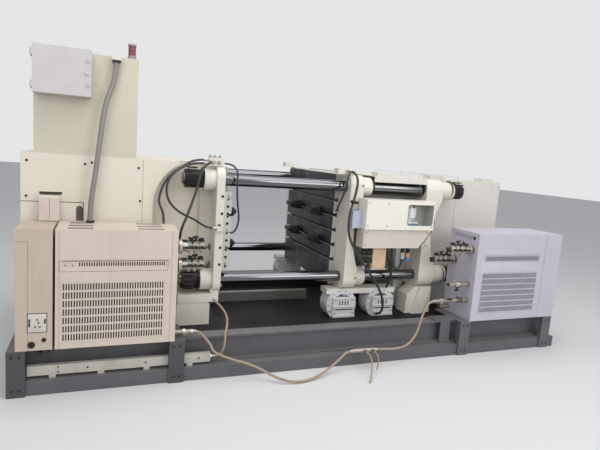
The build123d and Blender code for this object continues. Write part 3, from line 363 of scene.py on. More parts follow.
flexible("bed_tan_hose", 0.016, tan_braid, "frame", [
    (-0.906, -0.635, 0.456), (-0.906, -0.69, 0.456), (-0.875, -0.745, 0.434), (-0.852, -0.8, 0.4),
    (-0.851, -0.86, 0.374), (-0.866, -0.925, 0.344), (-0.892, -0.982, 0.31), (-0.893, -1, 0.262),
    (-0.902, -1.006, 0.208), (-0.917, -0.994, 0.168), (-0.946, -0.979, 0.148), (-0.992, -0.979, 0.148)
], sleeves=("first", "last"))
flexible("front_tan_hose", 0.018, tan_braid, "frame", [
    (-1.13, -0.96, 0.334), (-1.088, -0.96, 0.334), (-1.056, -0.974, 0.316), (-1.03, -0.998, 0.284),
    (-1, -1.022, 0.25), (-0.986, -1.047, 0.209), (-0.925, -1.065, 0.179), (-0.841, -1.08, 0.148),
    (-0.75, -1.095, 0.122), (-0.663, -1.12, 0.087), (-0.587, -1.17, 0.051), (-0.509, -1.222, 0.027),
    (-0.409, -1.24, 0.012), (-0.301, -1.222, 0.013), (-0.197, -1.18, 0.026), (-0.095, -1.13, 0.057),
    (0, -1.094, 0.104), (0.052, -1.075, 0.138), (0.11, -1.075, 0.138)
], sleeves=("first", "last"), on_it=["hose_coupling"])
flexible("right_tan_hose", 0.018, tan_braid, "frame", [
    (0.908, -0.975, 0.475), (0.85, -0.975, 0.475), (0.798, -0.992, 0.43), (0.752, -1.012, 0.347),
    (0.717, -1.034, 0.27), (0.676, -1.05, 0.202), (0.607, -1.062, 0.143), (0.51, -1.07, 0.124),
    (0.399, -1.075, 0.13), (0.337, -1.075, 0.138), (0.28, -1.075, 0.138)
], sleeves=("first", "last"))
flexible("long_drain_tail", 0.012, tan_braid, "frame", [
    (0.2, -1.126, 0.138), (0.2, -1.164, 0.138), (0.202, -1.2, 0.108), (0.186, -1.24, 0.062),
    (0.154, -1.296, 0.02), (0.112, -1.352, 0.007)
])
flexible("short_drain_tail", 0.01, tan_braid, "frame", [
    (0.266, -1.126, 0.138), (0.266, -1.158, 0.138), (0.27, -1.184, 0.112), (0.268, -1.192, 0.066),
    (0.254, -1.198, 0.022)
])
flexible("oil_line", 0.007, black_rubber, "moving_platen_group", [
    (0.922, -0.742, 1.172), (0.95, -0.742, 1.172), (0.968, -0.748, 1.148), (0.97, -0.755, 1.106),
    (0.954, -0.76, 1.054), (0.926, -0.76, 1.008), (0.9, -0.752, 0.962), (0.88, -0.742, 0.918),
    (0.842, -0.742, 0.918)
])
flexible("unit_hose", 0.018, black_rubber, "frame", [
    (-0.975, -0.6, 1.51), (-0.975, -0.64, 1.51), (-1.03, -0.685, 1.488), (-1.07, -0.7, 1.41),
    (-1.085, -0.71, 1.32), (-1.128, -0.735, 1.2), (-1.16, -0.75, 1.11), (-1.192, -0.745, 1.03),
    (-1.198, -0.725, 0.955), (-1.212, -0.712, 0.925), (-1.251, -0.71, 0.925)
], sleeves=("first", "last"), has_solid=False)
flexible("platen_hose", 0.015, black_rubber, "moving_platen_group", [
    (0.165, -0.6, 1.508), (0.165, -0.64, 1.508), (0.15, -0.662, 1.48), (0.134, -0.668, 1.41),
    (0.118, -0.66, 1.32), (0.108, -0.62, 1.24), (0.114, -0.56, 1.18), (0.15, -0.52, 1.16),
    (0.15, -0.475, 1.16)
], sleeves=("first",), has_solid=False)
flexible("left_valve_hose", 0.022, black_rubber, "moving_platen_group", [
    (0.545, -0.712, 0.892), (0.545, -0.712, 0.855), (0.57, -0.705, 0.78), (0.615, -0.69, 0.7),
    (0.64, -0.665, 0.62), (0.632, -0.64, 0.55), (0.63, -0.624, 0.505)
], has_solid=False)
flexible("right_valve_hose", 0.02, black_rubber, "moving_platen_group", [
    (0.59, -0.715, 0.892), (0.59, -0.715, 0.84), (0.605, -0.715, 0.74), (0.645, -0.722, 0.69),
    (0.684, -0.73, 0.715), (0.6885, -0.732, 0.771)
], has_solid=False)

# Skid
# Two low channels, cross beams and two wide-flange beams, welded and painted grey over mill scale, with posts
# and arms that carry the two units. Weld beads run where the posts meet the arms.
def dress(material, *nodes):
    """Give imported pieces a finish."""
    for node in nodes:
        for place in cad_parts[node].material_slots:
            place.material = material


skid_grey = finish("skid_grey", (0.105, 0.106, 0.115), dirt=(0.05, 0.045, 0.04), soiled=0.6, scale=2.2,
                   rubbed=0.7, roughness=0.5, grain=(180, 0.04), dusty=0.35, drips=0.3)
# The left unit's posts take a darker copy of the skid grey: painted shade for the shadow they stand in.
left_post_shade_grey = finish("left_post_shade_grey", (0.062, 0.062, 0.066), dirt=(0.04, 0.035, 0.03), soiled=0.6, scale=2.2,
                   rubbed=0.7, roughness=0.5, grain=(180, 0.04), dusty=0.3, drips=0.3)
dress(skid_grey, "skid_channels", "skid_beams", "skid_cross_beams", "right_unit_posts")
dress(left_post_shade_grey, "left_unit_posts")
rail_cream = finish("rail_cream", (0.50, 0.47, 0.42), soiled=0.8, scale=5, rubbed=0.5, roughness=0.5)
dress(rail_cream, "cable_rail")
to_front, to_right, upward = (0, -1, 0), (1, 0, 0), (0, 0, 1)


def new_tree(name, inputs, output):
    """An empty geometry tree with named inputs and one geometry output."""
    tree = bpy.data.node_groups.new(name, "GeometryNodeTree")
    for label, kind in inputs:
        tree.interface.new_socket(label, in_out="INPUT", socket_type="NodeSocket" + kind)
    tree.interface.new_socket(output, in_out="OUTPUT", socket_type="NodeSocketGeometry")
    return tree, wire(tree, "NodeGroupInput").outputs


def painted(tree, copies, given, output):
    """End a geometry tree: real copies in their finish."""
    real = wire(tree, "GeometryNodeRealizeInstances", {"Geometry": copies.outputs["Instances"]})
    paint = wire(tree, "GeometryNodeSetMaterial", {"Geometry": real.outputs[0], "Material": given["Finish"]})
    wire(tree, "NodeGroupOutput", {output: paint.outputs[0]})
    return tree


def screws_tree():
    """Cap screws with a socket, one at each point, each turned to face the way its point says."""
    tree, given = new_tree("cap_screws", (
        ("Places", "Geometry"), ("Head radius", "Float"), ("Head height", "Float"), ("Socket depth", "Float"),
        ("Sides", "Int"), ("Finish", "Material")), "Screws")
    head = wire(tree, "GeometryNodeMeshCylinder", {
        "Vertices": given["Sides"], "Radius": given["Head radius"], "Depth": given["Head height"]})
    inset = wire(tree, "GeometryNodeExtrudeMesh", {
        "Mesh": head.outputs["Mesh"], "Selection": head.outputs["Top"], "Offset Scale": 0.0}, mode="FACES")
    shrunk = wire(tree, "GeometryNodeScaleElements", {
        "Geometry": inset.outputs["Mesh"], "Selection": inset.outputs["Top"], "Scale": 0.55})
    down = wire(tree, "ShaderNodeMath", {0: given["Socket depth"], 1: -1.0}, operation="MULTIPLY")
    socket = wire(tree, "GeometryNodeExtrudeMesh", {
        "Mesh": shrunk.outputs[0], "Selection": inset.outputs["Top"], "Offset Scale": down.outputs[0]},
        mode="FACES")
    facing = wire(tree, "GeometryNodeInputNamedAttribute", {"Name": "facing"}, data_type="FLOAT_VECTOR")
    turn = wire(tree, "FunctionNodeAlignRotationToVector", {"Vector": facing.outputs["Attribute"]}, axis="Z")
    put = wire(tree, "GeometryNodeInstanceOnPoints", {
        "Points": given["Places"], "Instance": socket.outputs["Mesh"], "Rotation": turn.outputs[0]})
    return painted(tree, put, given, "Screws")


def grown(name, tree, base, values, material, body):
    """Run a geometry tree on a base mesh and keep its result as a plain piece."""
    holder = bpy.data.objects.new(name + "_base", base)
    bpy.context.scene.collection.objects.link(holder)
    maker = holder.modifiers.new("maker", "NODES")
    maker.node_group = tree
    for item in tree.interface.items_tree:
        if item.in_out == "INPUT" and item.name in values:
            maker[item.identifier] = values[item.name]
        elif item.in_out == "INPUT" and item.socket_type == "NodeSocketMaterial":
            maker[item.identifier] = material
    evaluated = holder.evaluated_get(bpy.context.evaluated_depsgraph_get())
    mesh = bpy.data.meshes.new_from_object(evaluated)
    holder.modifiers.remove(maker)
    bpy.data.objects.remove(holder)
    mesh.name = name
    return linked(name, mesh, material, body)


cap_screws = screws_tree()
black_screw = finish("black_screw", (0.03, 0.03, 0.03), soiled=0.6, scale=40, roughness=0.38, metallic=0.6)
bright_screw = finish("bright_screw", (0.45, 0.45, 0.44), soiled=0.6, scale=40, roughness=0.3, metallic=1.0)


def screws(name, places, facing, radius, material=black_screw, body="frame", sides=12):
    """Screws at places, all facing one way."""
    height = radius * 0.7
    mesh = bpy.data.meshes.new(name + "_places")
    mesh.from_pydata([tuple(place) for place in places], [], [])
    held = mesh.attributes.new("facing", "FLOAT_VECTOR", "POINT")
    for item in held.data:
        item.vector = facing
    values = {"Head radius": radius, "Head height": height, "Socket depth": height * 0.4, "Sides": sides}
    return grown(name, cap_screws, mesh, values, material, body)


def places_at(xs, ys, zs):
    """Every place that takes one of these x, one of these y and one of these z values."""
    return [(x, y, z) for x in xs for y in ys for z in zs]


def corners_of(node):
    """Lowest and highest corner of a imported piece, as plain lists."""
    low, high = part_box(node)
    return list(low), list(high)


rail_low, rail_high = corners_of("cable_rail")
rail_joint_x = rail_low[0] + 0.165
shape = bmesh.new()
block(shape, (rail_joint_x - 0.003, rail_low[1] - 0.0015, rail_high[2] - 0.064),
      (rail_joint_x + 0.045, rail_low[1] + 0.001, rail_high[2]), 0.0005)
solid("rail_joint_plate", shape, rail_cream, "frame")
rail_front, rail_top = rail_low[1] - 0.001, rail_high[2]
joint_screws = places_at([rail_joint_x + 0.012], [rail_front], [rail_top - 0.016, rail_top - 0.048])
long_screws = places_at([rail_low[0] + 0.35 + i * 0.36 for i in range(3)], [rail_front], [rail_top - 0.032])
screws("rail_screws", joint_screws + long_screws, to_front, 0.006)

# Welds on the skid: a bead up each edge of each post and one along the channel's edge below the post.
channel_low, channel_high = corners_of("skid_channels")
post_front = corners_of("left_unit_posts")[0][1]
post_lefts = (corners_of("left_unit_posts")[0][0], -1.283, 1.141, 2.073)
bead = finish("weld_bead", (0.12, 0.12, 0.13), soiled=0.9, scale=30, roughness=0.6, grain=(160, 0.3))
shape = bmesh.new()
for left in post_lefts:
    for x in (left + 0.0035, left + 0.0985):
        peg(shape, (x, channel_low[1] + 0.0015, 0.004), upward, 0.003, channel_high[2] - 0.008, 8)
    peg(shape, (left, channel_low[1] + 0.001, channel_high[2]), to_right, 0.004, 0.102, 8)
solid("skid_welds", shape, bead, "frame")
screws("post_bolts", places_at([left + dx for left in post_lefts for dx in (0.03, 0.072)],
                               [post_front + 0.001], (0.045, 0.262)), to_front, 0.009, sides=6)


# Left temperature-control unit
# Bent sheet steel with a textured beige coat: a cabinet with a slotted front and a narrow module beside it.
# The slots are punched through the sheet; a near-black sheet behind them is painted shade between the bars.
def blocks_tree():
    """Equal blocks on a grid, all tilted by one angle."""
    tree, given = new_tree("blocks_on_grid", (
        ("Base", "Geometry"), ("Across", "Int"), ("Up", "Int"), ("Span across", "Float"),
        ("Span up", "Float"), ("Block size", "Vector"), ("Middle", "Vector"), ("Turn", "Vector"),
        ("Tilt", "Vector"), ("Finish", "Material")), "Blocks")
    grid = wire(tree, "GeometryNodeMeshGrid", {
        "Vertices X": given["Across"], "Vertices Y": given["Up"], "Size X": given["Span across"],
        "Size Y": given["Span up"]})
    stood = wire(tree, "GeometryNodeTransform", {
        "Geometry": grid.outputs["Mesh"], "Rotation": given["Turn"], "Translation": given["Middle"]})
    one = wire(tree, "GeometryNodeMeshCube", {"Size": given["Block size"]})
    put = wire(tree, "GeometryNodeInstanceOnPoints", {
        "Points": stood.outputs[0], "Instance": one.outputs["Mesh"], "Rotation": given["Tilt"]})
    return painted(tree, put, given, "Blocks")


blocks_on_grid = blocks_tree()
upright_grid = (pi / 2, 0, 0)
flat_grid = (0, 0, 0)
side_grid = (pi / 2, 0, pi / 2)


def blocks(name, count, span, size, middle, material, turn=upright_grid, tilt=(0, 0, 0)):
    """Equal blocks in rows: how many across and up, how far apart in all, how large, about which middle."""
    base = bpy.data.meshes.new(name + "_base")
    values = {"Across": count[0], "Up": count[1], "Span across": span[0], "Span up": span[1],
              "Block size": size, "Middle": middle, "Turn": turn, "Tilt": tilt}
    return grown(name, blocks_on_grid, base, values, material, "frame")


def rim(shape, low, high, flat, sides, bottom=None, top=None):
    """Add four bars round the inside of a rectangle that faces along axis flat (0 for x, 1 for y)."""
    run = 1 - flat
    bottom = bottom or sides
    top = top or sides
    for start, end, foot, head in ((low[run], low[run] + sides, low[2], high[2]),
                                   (high[run] - sides, high[run], low[2], high[2]),
                                   (low[run], high[run], low[2], low[2] + bottom),
                                   (low[run], high[run], high[2] - top, high[2])):
        first, last = [0, 0, foot], [0, 0, head]
        first[flat], last[flat] = low[flat], high[flat]
        first[run], last[run] = start, end
        block(shape, first, last)


left_beige = finish("left_unit_beige", (0.62, 0.53, 0.45), soiled=0.3, scale=4, rubbed=0.35, roughness=0.5,
                    grain=(420, 0.05))
module_beige = finish("module_beige", (0.53, 0.435, 0.35), soiled=0.35, scale=4, rubbed=0.35, roughness=0.5,
                      grain=(420, 0.05))
# Near black for slots, openings and gaps: painted shade inside them.
recess_shade = finish("recess_shade", (0.012, 0.011, 0.010), soiled=0.2, roughness=0.9)
# Dark brown for folds, grooves and the neck seam: painted shade in the folds and grooves, a dark joint at the
# seam.
seam_and_crease_shade = finish("seam_and_crease_shade", (0.13, 0.10, 0.08), soiled=0.3, roughness=0.8)
dress(left_beige, "left_unit_cabinet")
dress(module_beige, "left_unit_module")
unit_low, unit_high = corners_of("left_unit_cabinet")
sheet = 0.0016


def slotted(name, left, right, low, high, columns, rows, share, face_y, material):
    """A slotted field of a sheet front: a painted-shade back, bars between the slots and bands between the
    rows.
    """
    slot_width = (right - left) / columns * share[0]
    slot_height = (high - low) / rows * share[1]
    bar = (right - left - columns * slot_width) / (columns + 1)
    band = (high - low - rows * slot_height) / (rows + 1)
    middle = ((left + right) / 2, face_y - sheet / 2, (low + high) / 2)
    shape = bmesh.new()
    # The back is painted shade behind the slots.
    block(shape, (left, face_y - sheet * 0.2, low), (right, face_y + sheet, high))
    solid(name + "_back", shape, recess_shade, "frame")
    blocks(name + "_bars", (columns + 1, rows), (right - left - bar, high - low - 2 * band - slot_height),
           (bar, sheet, slot_height), middle, material)
    blocks(name + "_bands", (1, rows + 1), (0, high - low - band), (right - left, sheet, band), middle,
           material)


slotted("left_grille", -1.947, -1.331, 0.339, 0.731, 39, 7, (0.50, 0.74), unit_low[1], left_beige)
recess_y = unit_low[1] + 0.003
slotted("left_strip", -1.856, -1.325, 0.800, 0.854, 37, 1, (0.52, 0.90), recess_y, left_beige)
fold = 0.0022
fold_front, fold_back = -0.0004, 0.002
# The dark rim round the recessed strip is painted shade on its folds.
shape = bmesh.new()
rim(shape, (-1.962, unit_low[1] + fold_front, 0.793), (-1.312, unit_low[1] + fold_back, 0.861), 1, fold)
solid("left_strip_folds", shape, seam_and_crease_shade, "frame")
# The top slots are near-black blocks: painted shade in the slots.
top_slot = (0.0035, 0.058, 0.0006)
for name, x, across in (("left_top_slots_near", -1.845, 0.14), ("left_top_slots_far", -1.42, 0.16)):
    blocks(name, (24, 3), (across, 0.22), top_slot, (x, -0.872, unit_high[2]), recess_shade,
           turn=flat_grid)
screw_levels = (0.33, 0.68, 1.035)
screws("left_strip_screws", [(-1.945 + i * 0.020, recess_y - 0.001, 0.818 + (i % 2) * 0.016)
                             for i in range(4)], to_front, 0.004)
screws("left_unit_screws", places_at([unit_high[0] + 0.0008], (unit_low[1] + 0.014, unit_high[1] - 0.014),
                                     screw_levels), to_right, 0.004)
# The side slots are near-black blocks: painted shade in the slots.
blocks("left_side_slots", (12, 2), (0.16, 0.10), (0.0006, 0.006, 0.05), (unit_high[0] + 0.0001, -0.89, 0.62),
       recess_shade, turn=side_grid)

# Control panel of the module: a small inset plate with two rockers, a socket and a round switch below it.
module_low, module_high = corners_of("left_unit_module")
module_front = module_low[1]
panel_white = finish("panel_white", (0.62, 0.58, 0.52), soiled=0.3, scale=12, roughness=0.4)
# The near-black frame round the inset plate is painted shade in its gap.
shape = bmesh.new()
block(shape, (-2.134, module_front - 0.0015, 0.414), (-2.024, module_front + 0.001, 0.538), 0.0008)
solid("module_panel_frame", shape, recess_shade, "frame")
shape = bmesh.new()
block(shape, (-2.130, module_front - 0.003, 0.418), (-2.028, module_front - 0.001, 0.534), 0.0008)
solid("module_panel", shape, panel_white, "frame")
shape = bmesh.new()
for x, z, wide, tall in ((-2.122, 0.478, 0.009, 0.05), (-2.036, 0.486, 0.009, 0.03),
                         (-2.079, 0.497, 0.012, 0.007), (-2.072, 0.478, 0.007, 0.014),
                         (-2.09, 0.452, 0.01, 0.008), (-2.064, 0.452, 0.01, 0.008)):
    block(shape, (x - wide / 2, module_front - 0.0055, z - tall / 2),
          (x + wide / 2, module_front - 0.002, z + tall / 2), 0.001)
solid("module_switches", shape, black_screw, "frame")
shape = bmesh.new()
for x, z, radius in ((-2.111, 0.338, 0.021), (-2.042, 0.366, 0.013)):
    turned(shape, (x, module_front, z), to_front, [(0, radius), (0.004, radius), (0.006, radius * 0.9),
                                                   (0.006, radius * 0.62), (0.002, radius * 0.55)], 28)
    block(shape, (x - radius * 0.12, module_front - 0.008, z - radius * 0.5),
          (x + radius * 0.12, module_front - 0.002, z + radius * 0.5), 0.001)
solid("module_round_switches", shape, black_screw, "frame")
dress(black_screw, "unit_knobs")
to_left = (-1, 0, 0)
screws("module_screws", places_at([module_low[0] - 0.0008], (module_front + 0.014, module_high[1] - 0.014),
                                  screw_levels), to_left, 0.004)


# Right temperature-control unit
# The same kind of bent sheet cabinet under a pale grey-blue coat. Its front sheet has seven rows of fine
# slots and one longer strip of them, and its left side carries the water fittings.
right_lavender = finish("right_unit_grey", (0.50, 0.478, 0.545), soiled=0.3, scale=4, rubbed=0.3,
                        roughness=0.5, grain=(420, 0.05))
dress(right_lavender, "right_unit_cabinet")
case_low, case_high = corners_of("right_unit_cabinet")
case_front = case_low[1]
# Dark grey for the vent strip's folded rim and the side slots: painted shade in the folds and slots.
fold_and_slot_shade = finish("fold_and_slot_shade", (0.17, 0.155, 0.165), soiled=0.4, roughness=0.6)
grille_left, grille_right, grille_low, grille_high = 1.310, 1.920, 0.368, 0.727
shape = bmesh.new()
block(shape, (grille_left - 0.024, case_front - 0.0005, grille_low - 0.006),
      (grille_right + 0.012, case_front + 0.004, grille_high + 0.085), 0.001)
solid("right_front_sheet", shape, right_lavender, "frame")
slotted("right_grille", grille_left, grille_right, grille_low, grille_high, 64, 7, (0.55, 0.82),
        case_front - 0.0022, right_lavender)
vent_left, vent_right, vent_bottom, vent_top = 1.318, 1.922, 0.821, 0.879
shape = bmesh.new()
block(shape, (vent_left + 0.0015, case_front - 0.0003, vent_top - 0.0125),
      (vent_right - 0.0015, case_front + 0.0065, vent_top + 0.0445), 0.001)
solid("right_strip_plate", shape, right_lavender, "frame")
slotted("right_strip", vent_left + 0.008, vent_right - 0.008, vent_bottom + 0.009, vent_top - 0.009, 58, 1,
        (0.62, 0.94), case_front - 0.0002, right_lavender)
# The dark rim round the recessed vent strip is painted shade on its folds.
shape = bmesh.new()
rim(shape, (vent_left, case_front + fold_front, vent_bottom), (vent_right, case_front + fold_back, vent_top),
    1, fold * 2, fold * 0.5, fold)
solid("right_strip_folds", shape, fold_and_slot_shade, "frame")
side_fitting_z = 1.016
# The side slots are dark blocks: painted shade in the slots.
blocks("right_side_slots", (22, 2), (0.24, 0.016), (0.0006, 0.0055, 0.011),
       (case_low[0], -0.845, side_fitting_z), fold_and_slot_shade, turn=side_grid)
screws("right_side_screws", places_at([case_low[0] - 0.001], (case_front + 0.016, case_high[1] - 0.016),
                                      screw_levels), to_left, 0.004)
shape = bmesh.new()
turned(shape, (case_low[0], -0.985, side_fitting_z), to_left, [(0, 0.012), (0.006, 0.012), (0.008, 0.009)])
solid("right_side_lock", shape, black_screw, "frame")


# Bed
# Planed cast bed under dark grey enamel, drawn near black as painted shade under the machine, with an oily
# tray and bright strips where the shoes slide. It is bolted down on the skid's wide-flange beams.
# Near black: dark grey enamel with the shade under the machine painted in.
bed_enamel_and_shade = finish("bed_enamel_and_shade", (0.016, 0.0165, 0.018), dirt=(0.008, 0.007, 0.006), soiled=0.8, scale=2.5,
                    rubbed=0.4, roughness=0.5, grain=(90, 0.06), dusty=0.0, shine=0.10)
dress(bed_enamel_and_shade, "machine_bed")
strip_finish = finish("bed_strip_finish", (0.16, 0.155, 0.14), soiled=0.8, scale=8, rubbed=0.6, roughness=0.4)
dress(strip_finish, "bed_strip")


# Slot plates
# Ground steel plates with five T-slots each, stained dark by oil and spray and drawn darker as painted dark
# reflection, with pale paint left on their sides and lighter patches of oil film and painted sheen. Rows of
# tapped holes run along the lands, and cap screws hold the plates to their castings.
def slot_face(name):
    """Oily ground steel on the face, near black as oil stain and painted dark reflection, patched with oil
    film and painted sheen; cream paint on the edges, told apart by how each side looks.
    """
    made = finish(name, (0.016, 0.016, 0.021), dirt=(0.004, 0.004, 0.005), soiled=1.0, scale=3.2, rubbed=0.4,
                  bare=(0.16, 0.16, 0.19), roughness=0.34, metallic=0.15, grain=(260, 0.05), shine=0.35)
    # The lighter haze patches are partly oil film and partly painted sheen.
    oil_film_and_sheen, edge_paint = (0.10, 0.10, 0.135), (0.50, 0.48, 0.44)
    tree = made.node_tree
    shader = next(node for node in tree.nodes if node.type == "BSDF_PRINCIPLED")
    stained = shader.inputs["Base Color"].links[0].from_socket
    where = wire(tree, "ShaderNodeNewGeometry")
    parts = wire(tree, "ShaderNodeSeparateXYZ", {0: where.outputs["Normal"]})
    flat = wire(tree, "ShaderNodeMath", {0: parts.outputs["X"]}, operation="ABSOLUTE")
    edge = wire(tree, "ShaderNodeMath", {0: flat.outputs[0], 1: 0.5}, operation="LESS_THAN")
    place = wire(tree, "ShaderNodeTexCoord").outputs["Object"]
    film_and_sheen_noise = wire(tree, "ShaderNodeTexNoise", {"Vector": place, "Scale": 2.6, "Detail": 7.0,
                                              "Distortion": 1.4})
    haze = wire(tree, "ShaderNodeMapRange", {"Value": film_and_sheen_noise.outputs[0], "From Min": 0.50, "From Max": 0.68,
                                             "To Max": 0.75})
    stained = mixed(tree, haze.outputs[0], stained, oil_film_and_sheen)
    shade = mixed(tree, edge.outputs[0], stained, edge_paint)
    tree.links.new(shade, shader.inputs["Base Color"])
    return made


dress(slot_face("slot_face"), "moving_slot_plate", "stationary_slot_plate")
face_low, face_high = corners_of("moving_slot_plate")
fixed_low, fixed_high = corners_of("stationary_slot_plate")
land_step = 0.129
land_rows = [(face_low[2] + face_high[2]) / 2 + (row - 2.5) * land_step for row in range(6)]
hole_columns = [face_low[1] + 0.09 + column * 0.136 for column in range(8)]
hole_radius, chamfer_radius = 0.0095, 0.0125
# Near black for the bores: painted shade down the holes.
tapped = finish("tapped_hole", (0.008, 0.008, 0.009), soiled=0.1, roughness=0.6)
dull_steel = finish("dull_steel", (0.10, 0.10, 0.12), soiled=0.6, scale=30, roughness=0.4, metallic=0.6)


def tapped_holes(name, face_x, outward, body):
    """Rows of chamfered tapped holes on the lands: a bright chamfer ring round a near-black disc of painted
    shade.
    """
    places = [(face_x + outward * 0.0002, y, z) for z in land_rows for y in hole_columns]
    chamfers, bores = bmesh.new(), bmesh.new()
    for place in places:
        turned(chamfers, place, (outward, 0, 0), [(0, chamfer_radius), (0.0006, chamfer_radius),
                                                  (0.0006, hole_radius)], 14)
        peg(bores, place, (outward, 0, 0), hole_radius, 0.0003, 14)
    solid(name + "_chamfers", chamfers, dull_steel, body)
    solid(name + "_bores", bores, tapped, body)


tapped_holes("moving_face_holes", face_low[0], -1, "moving_platen_group")
tapped_holes("fixed_face_holes", fixed_high[0], 1, "frame")
screws("moving_plate_screws", places_at([face_low[0] + 0.028], [face_low[1] - 0.001],
                                        (face_low[2] + 0.06, face_high[2] - 0.06)),
       to_front, 0.009, body="moving_platen_group")


# Platens
# Cast bodies with ribs, sprayed with cream enamel that is rubbed thin and oily round the bars. Each bar runs
# through a bush that six cap screws hold, behind a wiper ring of black rubber.
casting_cream = finish("casting_cream", (0.70, 0.665, 0.585), soiled=0.3, scale=3, rubbed=0.5,
                       roughness=0.38, grain=(70, 0.10), coat=0.2)
dress(casting_cream, "stationary_platen", "stationary_platen_feet", "moving_platen", "platen_brackets",
      "rear_platen", "rear_platen_feet", "platen_carriage")
bars_low, bars_high = corners_of("tie_bars")
bar_radius = 0.045
bar_ys = (bars_low[1] + bar_radius, bars_high[1] - bar_radius)
bar_zs = (bars_low[2] + bar_radius, bars_high[2] - bar_radius)
bars = [(y, z) for y in bar_ys for z in bar_zs]
moving_low, moving_high = corners_of("moving_platen")
rear_low, rear_high = corners_of("rear_platen")
# Dark for seams, gaps and slots: the seams and gaps are dark joints, the slots are painted shade.
seam_and_slot_shade = finish("seam_and_slot_shade", (0.035, 0.032, 0.03), soiled=0.3, roughness=0.8)
wiper_black = finish("wiper_black", (0.02, 0.02, 0.022), soiled=0.4, roughness=0.45)
wiper = [(0, bar_radius + 0.012), (0.003, bar_radius + 0.012), (0.0045, bar_radius + 0.004),
         (0.0045, bar_radius + 0.0008), (0, bar_radius + 0.0008)]
bush_screw_ring = 0.066
bush_screw_x = moving_high[0] + 0.001
places = []
shape = bmesh.new()
for y, z in bars:
    for step in range(6):
        turn = radians(30 + step * 60)
        places.append((bush_screw_x, y + bush_screw_ring * cos(turn), z + bush_screw_ring * sin(turn)))
    turned(shape, (moving_high[0], y, z), to_right, wiper, 40)
screws("moving_bush_screws", places, to_right, 0.0062, body="moving_platen_group")
solid("moving_bush_wipers", shape, wiper_black, "moving_platen_group")
screws("bush_side_screws", places_at([moving_high[0] - 0.104], [moving_low[1] + 0.001], bar_zs), to_front,
       0.009, body="moving_platen_group")


# Tie bars, ram and nuts
# Hard-chromed ground bars under a film of oil, their colour set dark as painted dark reflection, with
# blackened ring nuts pulled up against the castings.
# Each nut has a collar against the casting and twelve ribs for the spanner.
# The chrome's colour is set dark: painted dark reflection, under a real film of oil.
chrome_oil_and_dark_reflection = finish("chrome_oil_and_dark_reflection", (0.17, 0.172, 0.18), dirt=(0.09, 0.085, 0.075), soiled=0.35, scale=6,
                      roughness=0.10, metallic=1.0, grain=(500, 0.004), dusty=0.0, drips=0.0)
dress(chrome_oil_and_dark_reflection, "tie_bars", "ram")
nut_black = finish("nut_black", (0.016, 0.0155, 0.015), dirt=(0.045, 0.032, 0.022), soiled=0.6, scale=14,
                   rubbed=0.6, bare=(0.20, 0.19, 0.18), roughness=0.42, metallic=0.2, shine=0.3)
dress(nut_black, "bar_nuts", "moving_clamps", "stationary_clamps")
nut_radius = 0.069
collar = [(0, nut_radius), (0.002, nut_radius + 0.003), (0.014, nut_radius + 0.003), (0.016, nut_radius)]
rib_count, rib_radius = 12, 0.0055
for name, start_x, outward, length in (("fixed", fixed_low[0] - 0.1505, -1, 0.138),
                                       ("rear", rear_high[0] + 0.0005, 1, 0.1055)):
    rib_start = start_x + outward * length * 0.62 - length * 0.26
    shape = bmesh.new()
    for y, z in bars:
        turned(shape, (start_x, y, z), (outward, 0, 0), collar, 32)
        for step in range(rib_count):
            turn = radians(15 + step * 360 / rib_count)
            peg(shape, (rib_start, y + nut_radius * cos(turn), z + nut_radius * sin(turn)), to_right,
                rib_radius, length * 0.52, 6)
    solid(name + "_nut_ribs", shape, nut_black, "frame")


# Die clamps
# Forged and blackened steel, bolted through the T-slots: a stepped heel block under each, a washer and nut
# on its stud, and a threaded jack screw through the tail.
def clamp_trim(name, face_x, outward, places, body):
    """Heel blocks, nuts, washers and jack screws on a set of clamps."""
    def off(depth):
        return face_x + outward * depth

    shape = bmesh.new()
    along = (outward, 0, 0)
    for y, z in places:
        stud_y = y - 0.010
        heel_y = y - 0.012
        for depth, half_wide, half_tall in ((0.030, 0.044, 0.040), (0.058, 0.036, 0.036),
                                            (0.074, 0.026, 0.034)):
            near, far = sorted((face_x, off(depth)))
            block(shape, (near, heel_y - half_wide, z - half_tall), (far, heel_y + half_wide, z + half_tall),
                  0.003)
        near, far = sorted((off(0.040), off(0.076)))
        block(shape, (near, y, z - 0.022), (far, y + 0.146, z + 0.022), 0.006)
        peg(shape, (face_x, y + 0.120, z), along, 0.014, 0.042, 6)
        peg(shape, (off(0.078), stud_y, z), along, 0.025, 0.004)
        peg(shape, (off(0.082), stud_y, z), along, 0.021, 0.012, 6)
        turned(shape, (off(0.094), stud_y, z), along, [(0, 0.0101), (0.0036, 0.0101), (0.0036, 0.0085)], 16)
        for lift in (-0.018, 0.018):
            peg(shape, (off(0.010), y - 0.030, z + lift), to_front, 0.008, 0.008, 6)
    solid(name, shape, nut_black, body)


bar_middle_z = 0.9915
clamp_rows = (bar_middle_z + land_step, bar_middle_z - land_step)
clamp_trim("moving_clamp_nuts", face_low[0], -1, [(y, z) for y in (0.350, -0.170) for z in clamp_rows],
           "moving_platen_group")
clamp_trim("fixed_clamp_nuts", fixed_high[0], 1, [(-0.410, z) for z in clamp_rows], "frame")

# Ends of the fixed plate's slots, and the screws between them that hold the plate to its casting.
to_back = (0, 1, 0)
edge_screw_x = fixed_high[0] - 0.028
edge_rows = land_rows[1:5]
screws("fixed_plate_screws", places_at([edge_screw_x], [fixed_low[1] - 0.0008], edge_rows)
       + places_at([fixed_high[0] - 0.072], [fixed_low[1] - 0.0008], (0.74, 0.87, 1.0, 1.13, 1.26)),
       to_front, 0.010)
screws("fixed_plate_back_screws", places_at([edge_screw_x], [fixed_high[1] + 0.0008], edge_rows), to_back,
       0.010)


